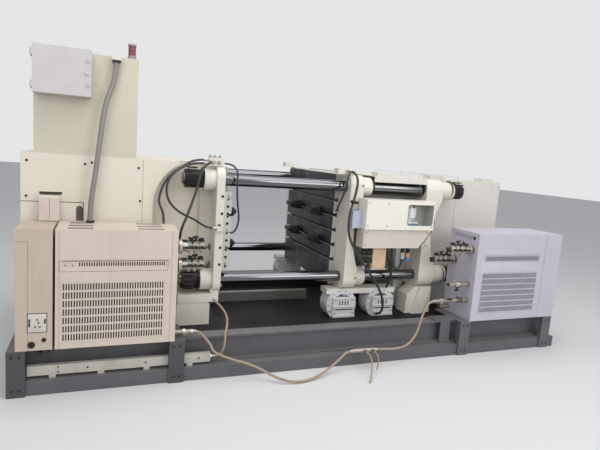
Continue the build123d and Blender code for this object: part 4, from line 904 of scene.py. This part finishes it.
# Rear platen
# The same cream casting as the others. Its long bushes end in a turned groove before the nuts, drawn as a
# thin dark ring of painted shade, and black rings close the sleeves round the two upper bars.
shape = bmesh.new()
for y, z in bars:
    peg(shape, (rear_high[0] - 0.032, y, z), to_right, 0.0801, 0.0008, 48)
solid("rear_bush_grooves", shape, seam_and_crease_shade, "frame")
shape = bmesh.new()
for y in bar_ys:
    for x, length in ((moving_high[0] + 0.0075, 0.014), (rear_low[0] - 0.014, 0.013)):
        turned(shape, (x, y, bar_zs[1]), to_right, [(0, 0.0612), (0.004, 0.0635), (0.012, 0.0635),
                                                    (length, 0.0612)], 40)
solid("sleeve_end_rings", shape, black_screw, "frame")


# Louvres, door gaps and locks
# For the sheet walls that face away from the operator: pressed lips in even rows over a near-black sheet that
# paints the shade in the opening, the gap round each door leaf, and quarter-turn locks with barrel hinges.
def louvred(name, middle, across, up, count, facing, material):
    """A field of louvres whose lips stand out at their lower edge."""
    side = facing[0] != 0
    half = (0.0008, across / 2, up / 2) if side else (across / 2, 0.0008, up / 2)
    # The opening behind the lips is a near-black sheet: painted shade.
    shape = bmesh.new()
    block(shape, [m - h for m, h in zip(middle, half)], [m + h for m, h in zip(middle, half)])
    solid(name + "_openings", shape, recess_shade, "frame")
    lip, proud = 0.0014, 0.0022
    wide = across / count[0] * 0.9
    tall = up / count[1] * 0.82
    lean = 0.30 * (facing[0] + facing[1])
    size, turn, tilt = (wide, lip, tall), upright_grid, (lean, 0, 0)
    if side:
        size, turn, tilt = (lip, wide, tall), side_grid, (0, -lean, 0)
    blocks(name + "_lips", count, (across - wide, up - tall), size,
           tuple(m + proud * f for m, f in zip(middle, facing)), material, turn, tilt)


def outlined(shape, low, high, facing, width=0.003):
    """Add the dark gap round a door leaf or panel on a wall, from its low corner to its high corner."""
    proud = 0.0005
    flat = 0 if facing[0] else 1
    near, far = list(low), list(high)
    near[flat] -= proud
    far[flat] += proud
    rim(shape, near, far, flat, width)


def lock(shape, x, y, z, outward):
    """Add a quarter-turn lock with its slotted bar to a wall at x."""
    turned(shape, (x, y, z), (outward, 0, 0), [(0, 0.014), (0.005, 0.014), (0.007, 0.011)])
    near, far = sorted((x + outward * 0.006, x + outward * 0.009))
    block(shape, (near, y - 0.004, z - 0.010), (far, y + 0.004, z + 0.010))


# Ram guard and cylinder cover
# Folded sheet covers in the same cream enamel, seamed at their joints and held by small black screws. The
# cover's end is a door with louvres, two locks and two barrel hinges.
sheet_cream = finish("sheet_cream", (0.66, 0.635, 0.585), soiled=0.25, scale=3, rubbed=0.4, roughness=0.40,
                     grain=(300, 0.02), coat=0.2)
dress(sheet_cream, "ram_guard", "cylinder_cover")
cover_low, cover_high = corners_of("cylinder_cover")
cover_left, cover_front, cover_foot = cover_low
cover_right, cover_back, cover_top = cover_high
cover_middle = (cover_foot + cover_top) / 2
seam_wide, hinge_radius, hinge_length = 0.002, 0.006, 0.07
shape = bmesh.new()
outlined(shape, (cover_right, cover_front + 0.10, cover_foot + 0.10),
         (cover_right, cover_back - 0.10, cover_top - 0.10), to_right)
for x in (cover_left + 0.004, cover_left + 0.34):
    far_x = x + seam_wide
    block(shape, (x, cover_front - 0.0003, cover_foot + 0.004), (far_x, cover_front + 0.001, cover_top))
    block(shape, (x, cover_front, cover_top - 0.001), (far_x, cover_back, cover_top + 0.0003))
    block(shape, (x, cover_back - 0.001, cover_foot + 0.004), (far_x, cover_back + 0.0003, cover_top))
solid("cover_seams", shape, seam_and_slot_shade, "frame")
cover_screw_xs = (cover_left + 0.02, cover_left + 0.36, cover_right - 0.02)
cover_screw_zs = (cover_foot + 0.08, cover_middle, cover_top - 0.08)
screws("cover_screws", places_at(cover_screw_xs, [cover_front - 0.0005], cover_screw_zs), to_front, 0.005)
screws("cover_back_screws", places_at(cover_screw_xs, [cover_back + 0.0005], cover_screw_zs), to_back, 0.005)
screws("cover_end_screws", places_at([cover_right + 0.0005], (cover_front + 0.03, cover_back - 0.03),
                                     (cover_foot + 0.08, cover_top - 0.08)), to_right, 0.005)
louvred("cover_end_louvres", (cover_right, (cover_front + cover_back) / 2, cover_middle + 0.30), 0.60, 0.20,
        (2, 9), to_right, sheet_cream)
louvred("cover_back_louvres", (cover_right - 0.28, cover_back, cover_middle - 0.26), 0.34, 0.20, (1, 9),
        to_back, sheet_cream)
shape = bmesh.new()
for z in (cover_middle - 0.16, cover_middle + 0.06):
    lock(shape, cover_right, cover_front + 0.15, z, 1)
    peg(shape, (cover_right + 0.004, cover_back - 0.106, z - 0.05 + (z - cover_middle)), upward, hinge_radius,
        hinge_length, 12)
solid("cover_end_locks", shape, black_screw, "frame")


# Drive housing, neck and tower
# Welded sheet housing at the tower end: wide panels with fine seams, six corner screws and a sight window
# with a rounded top. The neck carries the tower, whose upper part is the same sheet with a flat cap.
housing_cream = finish("housing_cream", (0.73, 0.675, 0.565), soiled=0.22, scale=2.5, rubbed=0.4,
                       roughness=0.40, grain=(300, 0.02), coat=0.2)
tower_cream = finish("tower_cream", (0.60, 0.555, 0.44), soiled=0.3, scale=2.5, rubbed=0.4, roughness=0.42,
                     grain=(300, 0.02), coat=0.15)
dress(housing_cream, "drive_housing", "housing_neck")
dress(tower_cream, "tower")
house_low, house_high = corners_of("drive_housing")
house_left, house_front, house_foot = house_low
house_right, house_back, house_top = house_high
tower_low, tower_high = corners_of("tower")
tower_left, tower_front, tower_foot = tower_low
tower_right, tower_back, tower_top = tower_high
screws("housing_screws", [(x, house_front - 0.0008, z) for x, z in
                          ((-2.182, 1.447), (-2.185, 1.216), (-1.834, 1.442), (-1.791, 1.455),
                           (-1.490, 1.436), (-1.475, 1.205))], to_front, 0.008)
seam_z, seam_tall, seam_x = 1.179, 0.004, -1.843
leaf_low, leaf_high = house_foot + 0.08, house_top - 0.10
leaf_middle = (house_front + house_back) / 2
seam_front, seam_back = house_front - 0.0004, house_front + 0.001
shape = bmesh.new()
for left, right in ((house_left, -2.103), (-1.984, seam_x)):
    block(shape, (left, seam_front, seam_z), (right, seam_back, seam_z + seam_tall))
block(shape, (seam_x, seam_front, 0.96), (seam_x + seam_tall, seam_back, seam_z + seam_tall))
for x in (house_left + 0.25, house_right - 0.25):
    far_x = x + seam_wide
    block(shape, (x, house_back - 0.001, house_foot + 0.02), (far_x, house_back + 0.0004, house_top))
    block(shape, (x, tower_back + 0.02, house_top - 0.001), (far_x, house_back, house_top + 0.0004))
for near, far in ((house_front + 0.08, leaf_middle - 0.003), (leaf_middle + 0.003, house_back - 0.08)):
    outlined(shape, (house_left, near, leaf_low), (house_left, far, leaf_high), to_left)
outlined(shape, (tower_left, tower_front + 0.05, tower_foot + 0.06),
         (tower_left, tower_back - 0.05, tower_top - 0.06), to_left, 0.0022)
outlined(shape, (tower_left + 0.05, tower_back, tower_foot + 0.06),
         (tower_right - 0.05, tower_back, tower_top - 0.06), to_back, 0.0022)
for y in (tower_front + 0.012, tower_back - 0.014):
    block(shape, (tower_left + 0.012, y, tower_top - 0.001),
          (tower_right - 0.012, y + seam_wide, tower_top + 0.0004))
solid("housing_seams", shape, seam_and_slot_shade, "frame")
leaf_centres = ((house_front + leaf_middle) / 2 + 0.04, (house_back + leaf_middle) / 2 - 0.04)
for number, y in enumerate(leaf_centres):
    for level, z in (("low", house_foot + 0.24), ("high", house_top - 0.27)):
        louvred("housing_leaf_%d_%s_louvres" % (number, level), (house_left, y, z), 0.40, 0.16, (1, 7),
                to_left, housing_cream)
louvred("housing_back_louvres", ((house_left + house_right) / 2, house_back, house_top - 0.24), 0.22, 0.18,
        (1, 8), to_back, housing_cream)
louvred("tower_back_louvres", ((tower_left + tower_right) / 2, tower_back, tower_top - 0.15), 0.30, 0.10,
        (1, 5), to_back, tower_cream)
shape = bmesh.new()
for y in (leaf_middle - 0.045, leaf_middle + 0.045):
    for z in (house_foot + 0.50, house_foot + 0.80):
        lock(shape, house_left, y, z, -1)
for y in (house_front + 0.074, house_back - 0.074):
    for z in (house_foot + 0.20, house_foot + 0.60, house_top - 0.25):
        peg(shape, (house_left - 0.004, y, z), upward, hinge_radius, hinge_length, 12)
solid("housing_leaf_locks", shape, black_screw, "frame")
tower_screw_zs = (tower_foot + 0.08, tower_top - 0.08)
screws("tower_screws", places_at([tower_left - 0.0006], (tower_front + 0.07, tower_back - 0.07),
                                 tower_screw_zs), to_left, 0.005)
screws("tower_back_screws", places_at((tower_left + 0.07, tower_right - 0.07), [tower_back + 0.0006],
                                      tower_screw_zs), to_back, 0.005)
screws("housing_back_screws",
       places_at((house_left + 0.03, house_left + 0.28, house_right - 0.22), [house_back + 0.0006],
                 (house_foot + 0.10, (house_foot + house_top) / 2, house_top - 0.06)), to_back, 0.007)
shape = bmesh.new()
block(shape, (house_right - 0.0008, house_front - 0.0006, 0.96),
      (house_right + 0.0008, house_front + 0.001, 1.499))
solid("neck_joint", shape, seam_and_crease_shade, "frame")

# Sight window: a brown sieve behind an arched cut-out, with a small cock across it.
sieve_brown = finish("sieve_brown", (0.20, 0.135, 0.10), dirt=(0.05, 0.03, 0.02), soiled=0.9, scale=60,
                     roughness=0.6, grain=(500, 0.3))
sight_left, sight_right, sight_low = -1.886, -1.843, 1.096
cock_z = sight_low + 0.022
shape = bmesh.new()
block(shape, (sight_left, house_front + 0.009, sight_low - 0.041),
      (sight_right, house_front + 0.013, sight_low + 0.062))
solid("sight_window_back", shape, sieve_brown, "frame")
shape = bmesh.new()
for level in range(7):
    foot = sight_low - 0.028 + level * 0.011
    block(shape, (sight_left + 0.003, house_front + 0.006, foot),
          (sight_right - 0.003, house_front + 0.009, foot + 0.003), 0.0005)
peg(shape, (sight_left + 0.006, house_front + 0.005, cock_z), to_right, 0.004, 0.031, 12)
peg(shape, (sight_left + 0.028, house_front + 0.006, cock_z), to_front, 0.008, 0.004, 16)
solid("sight_window_bars", shape, dull_steel, "frame")


# Lever box
# Small box of pinkish painted sheet, screwed to the housing's front, with a hand slot above its lid drawn
# dark as painted shade, and a folded seam down its middle.
lever_pink = finish("lever_box_finish", (0.66, 0.56, 0.50), soiled=0.4, scale=10, rubbed=0.5, roughness=0.45)
dress(lever_pink, "lever_box")
lever_low, lever_high = corners_of("lever_box")
lever_middle = (lever_low[0] + lever_high[0]) / 2
shape = bmesh.new()
block(shape, (lever_low[0] - 0.006, house_front - 0.0008, lever_high[2] + 0.006),
      (lever_high[0] + 0.012, house_front + 0.001, lever_high[2] + 0.022))
block(shape, (lever_middle - 0.001, lever_low[1] - 0.0003, lever_low[2] + 0.01),
      (lever_middle + 0.001, lever_low[1] + 0.001, lever_high[2] - 0.01))
solid("lever_box_lines", shape, seam_and_slot_shade, "frame")


# Control box
# Wall box of folded sheet in pale grey enamel, with a full-height hinged door and two quarter-turn locks. A
# rubber seal is glued round the inside of the door and shows in the gap.
box_grey = finish("box_grey", (0.56, 0.53, 0.53), soiled=0.25, scale=6, rubbed=0.35, roughness=0.45,
                  grain=(420, 0.04))
dress(box_grey, "control_box", "control_box_door")
door_low, door_high = corners_of("control_box_door")
door_left, door_front, door_foot = door_low
door_right, door_back, door_top = door_high
lock_x = door_right - 0.022
shape = bmesh.new()
for z in (door_foot + 0.07, door_top - 0.07):
    turned(shape, (lock_x, door_front, z), to_front, [(0, 0.010), (0.005, 0.010), (0.007, 0.008),
                                                      (0.007, 0.0045), (0.003, 0.0045)])
    block(shape, (lock_x - 0.0015, door_front - 0.0068, z - 0.0075),
          (lock_x + 0.0015, door_front - 0.002, z + 0.0075))
solid("door_locks", shape, box_grey, "control_door")
seal = finish("door_seal", (0.02, 0.02, 0.02), soiled=0.3, roughness=0.7)
seal_wide = 0.012
shape = bmesh.new()
rim(shape, (door_left + 0.02, door_back - 0.001, door_foot + 0.01),
    (door_right - 0.02, door_back + 0.0015, door_top - 0.01), 1, seal_wide)
solid("door_seal", shape, seal, "control_door")


# Beacon
# Ribbed red lens of clear plastic between two grey collars, on a short stem that is screwed to the tower's
# cap.
lens_red = finish("lens_red", (0.26, 0.042, 0.072), soiled=0.3, scale=20, roughness=0.22, coat=0.4)
lens_red.node_tree.nodes["Principled BSDF"].inputs["Transmission Weight"].default_value = 0.25
dress(lens_red, "beacon_lens")
collar_grey = finish("collar_grey", (0.32, 0.25, 0.25), soiled=0.4, scale=20, roughness=0.45)
dress(collar_grey, "beacon_ends")
lens_low, lens_high = corners_of("beacon_lens")
lens_x, lens_y = (lens_low[0] + lens_high[0]) / 2, (lens_low[1] + lens_high[1]) / 2
lens_radius = (lens_high[0] - lens_low[0]) / 2
lens_rib = [(0, lens_radius), (0.0015, lens_radius + 0.0012), (0.003, lens_radius + 0.0012),
            (0.0045, lens_radius)]
ribs = 9
shape = bmesh.new()
for rib in range(ribs):
    z = lens_low[2] + (lens_high[2] - lens_low[2]) * (rib + 0.2) / ribs
    turned(shape, (lens_x, lens_y, z), upward, lens_rib, 32)
solid("beacon_ribs", shape, lens_red, "frame")


# Oil box and pump
# Welded sheet box on the moving platen's carriage. Its front has a window with round corners onto the pump
# inside. Inside, the left wall and the left of the back are black as painted shade; the right wall and the
# rest of the back are pale grey-green.
box_cream = finish("box_cream", (0.78, 0.75, 0.665), soiled=0.3, scale=4, rubbed=0.45, roughness=0.38,
                   grain=(300, 0.03), coat=0.2)
dress(box_cream, "oil_box")
bracket_blue = finish("bracket_blue", (0.42, 0.45, 0.54), soiled=0.35, scale=6, rubbed=0.4, roughness=0.42)
dress(bracket_blue, "oil_box_bracket")
inner_green = finish("inner_green", (0.45, 0.48, 0.43), soiled=0.5, scale=12, roughness=0.5)
inner_shade_black = finish("inner_shade_black", (0.015, 0.015, 0.015), soiled=0.4, scale=12, roughness=0.4)
box_low, box_high = corners_of("oil_box")
inside_left, inside_right = box_low[0] + 0.366, box_low[0] + 0.656
inside_low, inside_high = 1.064, 1.289
front_y, back_y = box_low[1] + 0.012, box_high[1] - 0.004
shade_ends = inside_left + 0.17
lining = 0.0008
shape = bmesh.new()
block(shape, (inside_right - lining, front_y, inside_low), (inside_right, back_y, inside_high))
block(shape, (shade_ends, back_y - lining, inside_low), (inside_right, back_y, inside_high))
solid("box_lining_pale", shape, inner_green, "moving_platen_group")
# The black lining is painted shade on the inner left wall and across the left of the back.
shape = bmesh.new()
block(shape, (inside_left, front_y, inside_low), (inside_left + lining, back_y, inside_high))
block(shape, (inside_left, back_y - lining * 1.5, inside_low), (shade_ends, back_y, inside_high))
solid("box_lining_shade", shape, inner_shade_black, "moving_platen_group")
pump_white = finish("pump_white", (0.70, 0.70, 0.68), soiled=0.4, scale=18, rubbed=0.4, roughness=0.4)
dress(pump_white, "oil_pump")
pump_low, pump_high = corners_of("oil_pump")
pump_blue = finish("pump_blue", (0.09, 0.17, 0.36), soiled=0.5, scale=18, rubbed=0.4, roughness=0.4)
shape = bmesh.new()
block(shape, (pump_low[0] - 0.001, pump_low[1] - 0.0015, pump_low[2] + 0.002),
      (pump_high[0] + 0.001, pump_low[1] + 0.02, pump_low[2] + 0.05), 0.001)
solid("pump_foot", shape, pump_blue, "moving_platen_group")
gauge = [(0, 0.024), (0.004, 0.024), (0.006, 0.021), (0.006, 0.017), (0.0035, 0.016)]
shape = bmesh.new()
turned(shape, ((pump_low[0] + pump_high[0]) / 2, pump_low[1], pump_low[2] + 0.085), to_front, gauge, 28)
solid("pump_gauge", shape, crimped_steel, "moving_platen_group")
screws("oil_box_screws", places_at((box_low[0] + 0.018, box_low[0] + 0.20, box_high[0] - 0.018),
                                   [box_low[1] - 0.0008], (box_low[2] + 0.03, box_high[2] - 0.03)),
       to_front, 0.0048, body="moving_platen_group")


# Valve box, valves and their support
# A painted sheet box beside the oil box, and under it a tan plate on a bright steel shelf. Turned cups and
# round solenoids stand on the plate, each held by a ring nut.
valve_cream = finish("valve_cream", (0.60, 0.535, 0.47), soiled=0.45, scale=4, rubbed=0.45, roughness=0.42,
                     coat=0.15)
dress(valve_cream, "valve_box")
plate_tan = finish("valve_plate_tan", (0.60, 0.44, 0.27), soiled=0.5, scale=9, rubbed=0.5, roughness=0.45)
dress(plate_tan, "valve_plate")
dress(black_screw, "block_fittings")
valve_y = -0.732
shape = bmesh.new()
block(shape, (0.372, valve_y - 0.032, 0.700), (0.534, valve_y + 0.030, 0.710), 0.001)
solid("valve_support", shape, bright_screw, "moving_platen_group")
cup_radius = 0.0205
for name, x, z, tall, colour in (("copper_cup", 0.741, 0.800, 0.040, (0.55, 0.30, 0.20)),
                                 ("blue_cup", 0.741, 0.772, 0.026, (0.06, 0.22, 0.55)),
                                 ("steel_cup", 0.6885, 0.786, 0.060, (0.45, 0.45, 0.45))):
    cup_finish = finish(name, colour, soiled=0.4, scale=24, roughness=0.35, metallic=0.4)
    shape = bmesh.new()
    turned(shape, (x, valve_y, z), upward, [(0, cup_radius - 0.002), (0.002, cup_radius),
                                            (tall - 0.002, cup_radius), (tall, cup_radius - 0.002)], 24)
    solid(name, shape, cup_finish, "moving_platen_group")
shape = bmesh.new()
for z in (0.8525, 0.778):
    peg(shape, (0.3085, valve_y, z), to_left, 0.0235, 0.004, 24)
    peg(shape, (0.372, valve_y, z), to_left, 0.0245, 0.014, 6)
    block(shape, (0.322, valve_y - 0.030, z - 0.012), (0.352, valve_y - 0.018, z + 0.012), 0.002)
solid("valve_coil_trim", shape, nut_black, "moving_platen_group")
valve_low, valve_high = corners_of("valve_box")
plate_low, plate_high = corners_of("valve_plate")
screws("valve_box_screws", places_at((valve_low[0] + 0.02, valve_high[0] - 0.02), [valve_low[1] - 0.0008],
                                     (valve_low[2] + 0.025, valve_high[2] - 0.025)),
       to_front, 0.0048, body="moving_platen_group")
screws("valve_plate_screws", places_at((plate_low[0] + 0.014, plate_high[0] - 0.014), [plate_low[1] - 0.0006],
                                       (plate_low[2] + 0.02, plate_high[2] - 0.02)),
       to_front, 0.004, body="moving_platen_group")


# Shoes
# Cast shoes that carry the moving platen on the bed, in an off-white enamel: a round disc with bolts round
# its rim, and a square foot in front of it with ledges across it and four short slots.
shoe_white = finish("shoe_white", (0.60, 0.605, 0.60), soiled=0.45, scale=6, rubbed=0.6, roughness=0.40,
                    coat=0.15)
dress(shoe_white, "platen_shoes")
shoe_low, shoe_high = corners_of("platen_shoes")
shoe_front, shoe_foot = shoe_low[1], shoe_low[2]
flange_radius, bolt_ring, bolt_count = 0.138, 0.122, 14
disc_z = 0.367
flange_face = shoe_front + 0.018
disc_middles = (shoe_low[0] + flange_radius, shoe_high[0] - flange_radius)
foot_offset = 0.017
bolts = []
shape = bmesh.new()
for disc_x in disc_middles:
    foot_x = disc_x + foot_offset
    for step in range(bolt_count):
        turn = radians(step * 360 / bolt_count)
        x, z = disc_x + bolt_ring * cos(turn), disc_z + bolt_ring * sin(turn)
        clear_of_foot = z > shoe_foot + 0.185 or abs(x - foot_x) > 0.112
        if z > shoe_foot + 0.02 and clear_of_foot:
            bolts.append((x, flange_face - 0.0008, z))
    # The slots and the line across the foot are dark flats: painted shade in them.
    for number in range(4):
        x = foot_x - 0.048 + number * 0.026
        block(shape, (x, shoe_front - 0.0004, shoe_foot + 0.105),
              (x + 0.010, shoe_front + 0.001, shoe_foot + 0.145))
    bolts += places_at((foot_x - 0.085, foot_x + 0.085), [shoe_front - 0.0008],
                       (shoe_foot + 0.032, shoe_foot + 0.15))
    block(shape, (foot_x - 0.080, shoe_front - 0.0004, 0.326), (foot_x + 0.080, shoe_front + 0.001, 0.336))
solid("shoe_slots", shape, seam_and_slot_shade, "moving_platen_group")
screws("shoe_bolts", bolts, to_front, 0.0085, crimped_steel, "moving_platen_group")
ledge_half = 0.1035
shape = bmesh.new()
for disc_x in disc_middles:
    foot_x = disc_x + foot_offset
    for low, high, proud in ((0.2625, 0.288, 0.010), (0.352, 0.362, 0.008), (0.421, 0.434, 0.006)):
        block(shape, (foot_x - ledge_half, shoe_front - proud, low),
              (foot_x + ledge_half, shoe_front + 0.004, high), 0.003)
    turned(shape, (disc_x, flange_face + 0.001, disc_z), to_front,
           [(0, 0.108), (0.005, 0.106), (0.005, 0.098), (0.001, 0.096)], 48)
solid("shoe_ledges", shape, shoe_white, "moving_platen_group")


# Water manifolds
# Cast bars of dulled nickel brass. Each screws into its unit with a wide union, carries three ball valves
# with hexagon bodies and blackened T-handles, and is shut with a plug at its free end.
bronze = finish("bronze", (0.36, 0.33, 0.28), dirt=(0.07, 0.055, 0.04), soiled=0.6, scale=22, rubbed=0.6,
                bare=(0.55, 0.50, 0.40), roughness=0.32, metallic=0.75, grain=(300, 0.05), dusty=0.0)
nickel = finish("nickel", (0.44, 0.41, 0.36), dirt=(0.10, 0.08, 0.06), soiled=0.7, scale=26, roughness=0.30,
                metallic=0.7, grain=(300, 0.03), dusty=0.0)
dark_brass = finish("dark_brass", (0.13, 0.10, 0.085), dirt=(0.03, 0.02, 0.015), soiled=0.6, scale=26,
                    rubbed=0.6, bare=(0.42, 0.36, 0.28), roughness=0.34, metallic=0.6, dusty=0.0)
handle_black = finish("handle_black", (0.012, 0.012, 0.013), soiled=0.4, scale=24, rubbed=0.3,
                      roughness=0.38, shine=0.35)
dress(bronze, "manifolds", "hose_coupling", "unit_fittings")
dress(handle_black, "valve_levers")
downward = (0, 0, -1)


def handle(shape, foot, outward, wing, rise=0.030, reach=0.020, thick=0.0095):
    """Add a T-handle: a stem that stands off the valve and a rounded wing across it."""
    turned(shape, foot, outward, [(0, 0.008), (rise, 0.0075)], 10)
    top = Vector(foot) + Vector(outward).normalized() * rise
    along = Vector(wing).normalized()
    turned(shape, top - along * reach, wing, [(0, thick * 0.5), (0.003, thick * 0.9), (reach, thick),
                                              (2 * reach - 0.003, thick * 0.9), (2 * reach, thick * 0.5)], 10)


high_row, low_row = 0.915, 0.785
stub, bar_side = 0.040, 0.023
valve_body = [(0, 0.029), (0.004, 0.0325), (0.036, 0.0325), (0.040, 0.029)]
drain_plug = [(0, 0.015), (0.010, 0.015), (0.012, 0.011), (0.022, 0.010), (0.024, 0.007)]
for name, face_x, outward, y, z, length, wide in (
    ("left_high", unit_high[0], 1, -0.850, high_row, 0.170, 0.043),
    ("left_low", unit_high[0], 1, -0.850, low_row, 0.170, 0.043),
    ("right_high", case_low[0], -1, -0.965, high_row, 0.190, 0.036),
    ("right_low", case_low[0], -1, -0.760, low_row, 0.190, 0.036),
):
    along = (outward, 0, 0)
    bodies, nuts, handles = bmesh.new(), bmesh.new(), bmesh.new()
    turned(nuts, (face_x, y, z), along, [(0, wide * 0.86), (0.006, wide * 0.86), (0.008, wide * 0.78),
                                         (0.026, wide * 0.78)], 28)
    turned(bodies, (face_x + outward * 0.026, y, z), along,
           [(0, wide * 1.02), (0.003, wide * 1.16), (0.024, wide * 1.16), (0.028, wide * 1.02),
            (0.030, wide * 0.80), (0.060, wide * 0.76)], 32)
    free = face_x + outward * (stub + length)
    peg(nuts, (free, y, z), along, 0.021, 0.014, 6)
    turned(nuts, (free + outward * 0.014, y, z), along, [(0, 0.012), (0.006, 0.012), (0.008, 0.009)], 14)
    for share, lean, rise in ((0.36, 0.35, 0.026), (0.62, -0.10, 0.036), (0.88, -0.40, 0.022)):
        x = face_x + outward * (stub + length * share)
        turned(bodies, (x - outward * 0.020, y, z), along, valve_body, 8)
        peg(bodies, (x, y, z + bar_side), upward, 0.0175, 0.014, 6)
        peg(bodies, (x, y - bar_side, z), to_front, 0.0175, 0.014, 6)
        turned(bodies, (x, y, z - bar_side), downward, drain_plug, 16)
        handle(handles, (x, y, z + bar_side + 0.012), (lean, -0.2, 1), (1, lean * 2, -lean), rise)
        handle(handles, (x, y - bar_side - 0.012, z), (lean * 0.5, -1, 0.3), (lean * 3, 0.3, 1), 0.016, 0.015,
               0.0085)
    handle(handles, (free + outward * 0.020, y, z), (outward, -0.3, 0), (0, 0.3, 1), 0.014, 0.022)
    solid(name + "_valve_bodies", bodies, nickel, "frame")
    solid(name + "_union_nuts", nuts, dark_brass, "frame")
    solid(name + "_handles", handles, handle_black, "frame")


# Fittings low on the units
# Turned brass, screwed into the cabinets' sides. On the right unit a ball valve sits above a dark brass tee
# with a check valve, joined by a thin pipe; on the left unit a pair of nuts holds the tan hose.
tee_y, tee_z = -0.975, 0.475
ball_z = tee_z + 0.140
shape = bmesh.new()
for z in (tee_z, ball_z):
    peg(shape, (case_low[0], tee_y, z), to_left, 0.026, 0.010, 6)
    peg(shape, (case_low[0] - 0.052, tee_y, z), to_left, 0.023, 0.018, 6)
peg(shape, (1.048, tee_y, ball_z), to_left, 0.021, 0.022, 6)
turned(shape, (1.075, tee_y, tee_z + 0.157), upward, [(0, 0.015), (0.012, 0.015), (0.014, 0.010)], 16)
peg(shape, (0.936, tee_y, tee_z), to_right, 0.023, 0.020, 6)
solid("right_fitting_nuts", shape, nickel, "frame")
shape = bmesh.new()
turned(shape, (1.170, tee_y, tee_z), to_left, [(0, 0.021), (0.004, 0.0225), (0.052, 0.0225), (0.056, 0.021)],
       24)
turned(shape, (1.128, tee_y, tee_z + 0.015), upward, [(0, 0.011), (0.018, 0.011), (0.020, 0.009)], 16)
peg(shape, (1.128, tee_y, tee_z + 0.123), downward, 0.011, 0.014, 6)
turned(shape, (0.940, tee_y, tee_z - 0.046), to_right,
       [(0, 0.018), (0.004, 0.024), (0.050, 0.024), (0.052, 0.019), (0.100, 0.019), (0.104, 0.014)])
peg(shape, (0.985, tee_y, tee_z), downward, 0.016, 0.046, 16)
solid("right_valve_tee", shape, dark_brass, "frame")
shape = bmesh.new()
turned(shape, (1.120, tee_y, ball_z), to_left, [(0, 0.022), (0.004, 0.027), (0.036, 0.027), (0.040, 0.022)],
       8)
peg(shape, (0.964, tee_y - 0.004, tee_z + 0.018), downward, 0.010, 0.060, 14)
solid("right_valve_body", shape, nickel, "frame")
shape = bmesh.new()
handle(shape, (1.100, tee_y - 0.006, tee_z + 0.118), (0, -0.1, -1), (1, 0, 0.1), 0.026, 0.020)
handle(shape, (1.024, tee_y - 0.016, tee_z + 0.012), (0, -1, 0.5), to_right, 0.018, 0.024)
turned(shape, (1.018, tee_y, ball_z), to_left, [(0, 0.013), (0.012, 0.011)], 12)
solid("right_valve_handles", shape, handle_black, "frame")
shape = bmesh.new()
peg(shape, (unit_high[0], -0.960, 0.334), to_right, 0.026, 0.010, 6)
peg(shape, (unit_high[0] + 0.060, -0.960, 0.334), to_right, 0.023, 0.020, 6)
solid("left_fitting_nuts", shape, nickel, "frame")


# Hose glands and clip
# A cream block over the upper bar carries a row of nickel-plated elbows, with a small block below it. Black
# gland nuts close the ends of the conduit, and a screwed clip holds the carriage hose off the platen.
dress(casting_cream, "hose_glands")
shape = bmesh.new()
for x in (-0.974, -0.940, -0.902):
    peg(shape, (x, -0.560, 1.540), upward, 0.013, 0.010, 6)
    turned(shape, (x, -0.560, 1.550), upward, [(0, 0.008), (0.010, 0.008), (0.013, 0.005)], 14)
for x in (-0.955, -0.912):
    peg(shape, (x, -0.600, 1.508), to_front, 0.015, 0.012, 6)
    peg(shape, (x, -0.612, 1.508), to_front, 0.010, 0.012, 14)
solid("gland_elbows", shape, nickel, "frame")
shape = bmesh.new()
turned(shape, (-0.905, -0.682, 1.040), upward, [(0, 0.012), (0.008, 0.012), (0.012, 0.008)], 6)
peg(shape, (-1.650, -0.700, 2.135), downward, 0.028, 0.014, 6)
peg(shape, (-1.797, -0.725, 1.0572), upward, 0.028, 0.012, 6)
solid("gland_nuts", shape, black_screw, "frame")
shape = bmesh.new()
block(shape, (0.184, -0.765, 1.254), (0.202, -0.659, 1.270), 0.003)
block(shape, (0.148, -0.768, 1.250), (0.206, -0.738, 1.274), 0.005)
solid("hose_clip", shape, black_screw, "moving_platen_group")
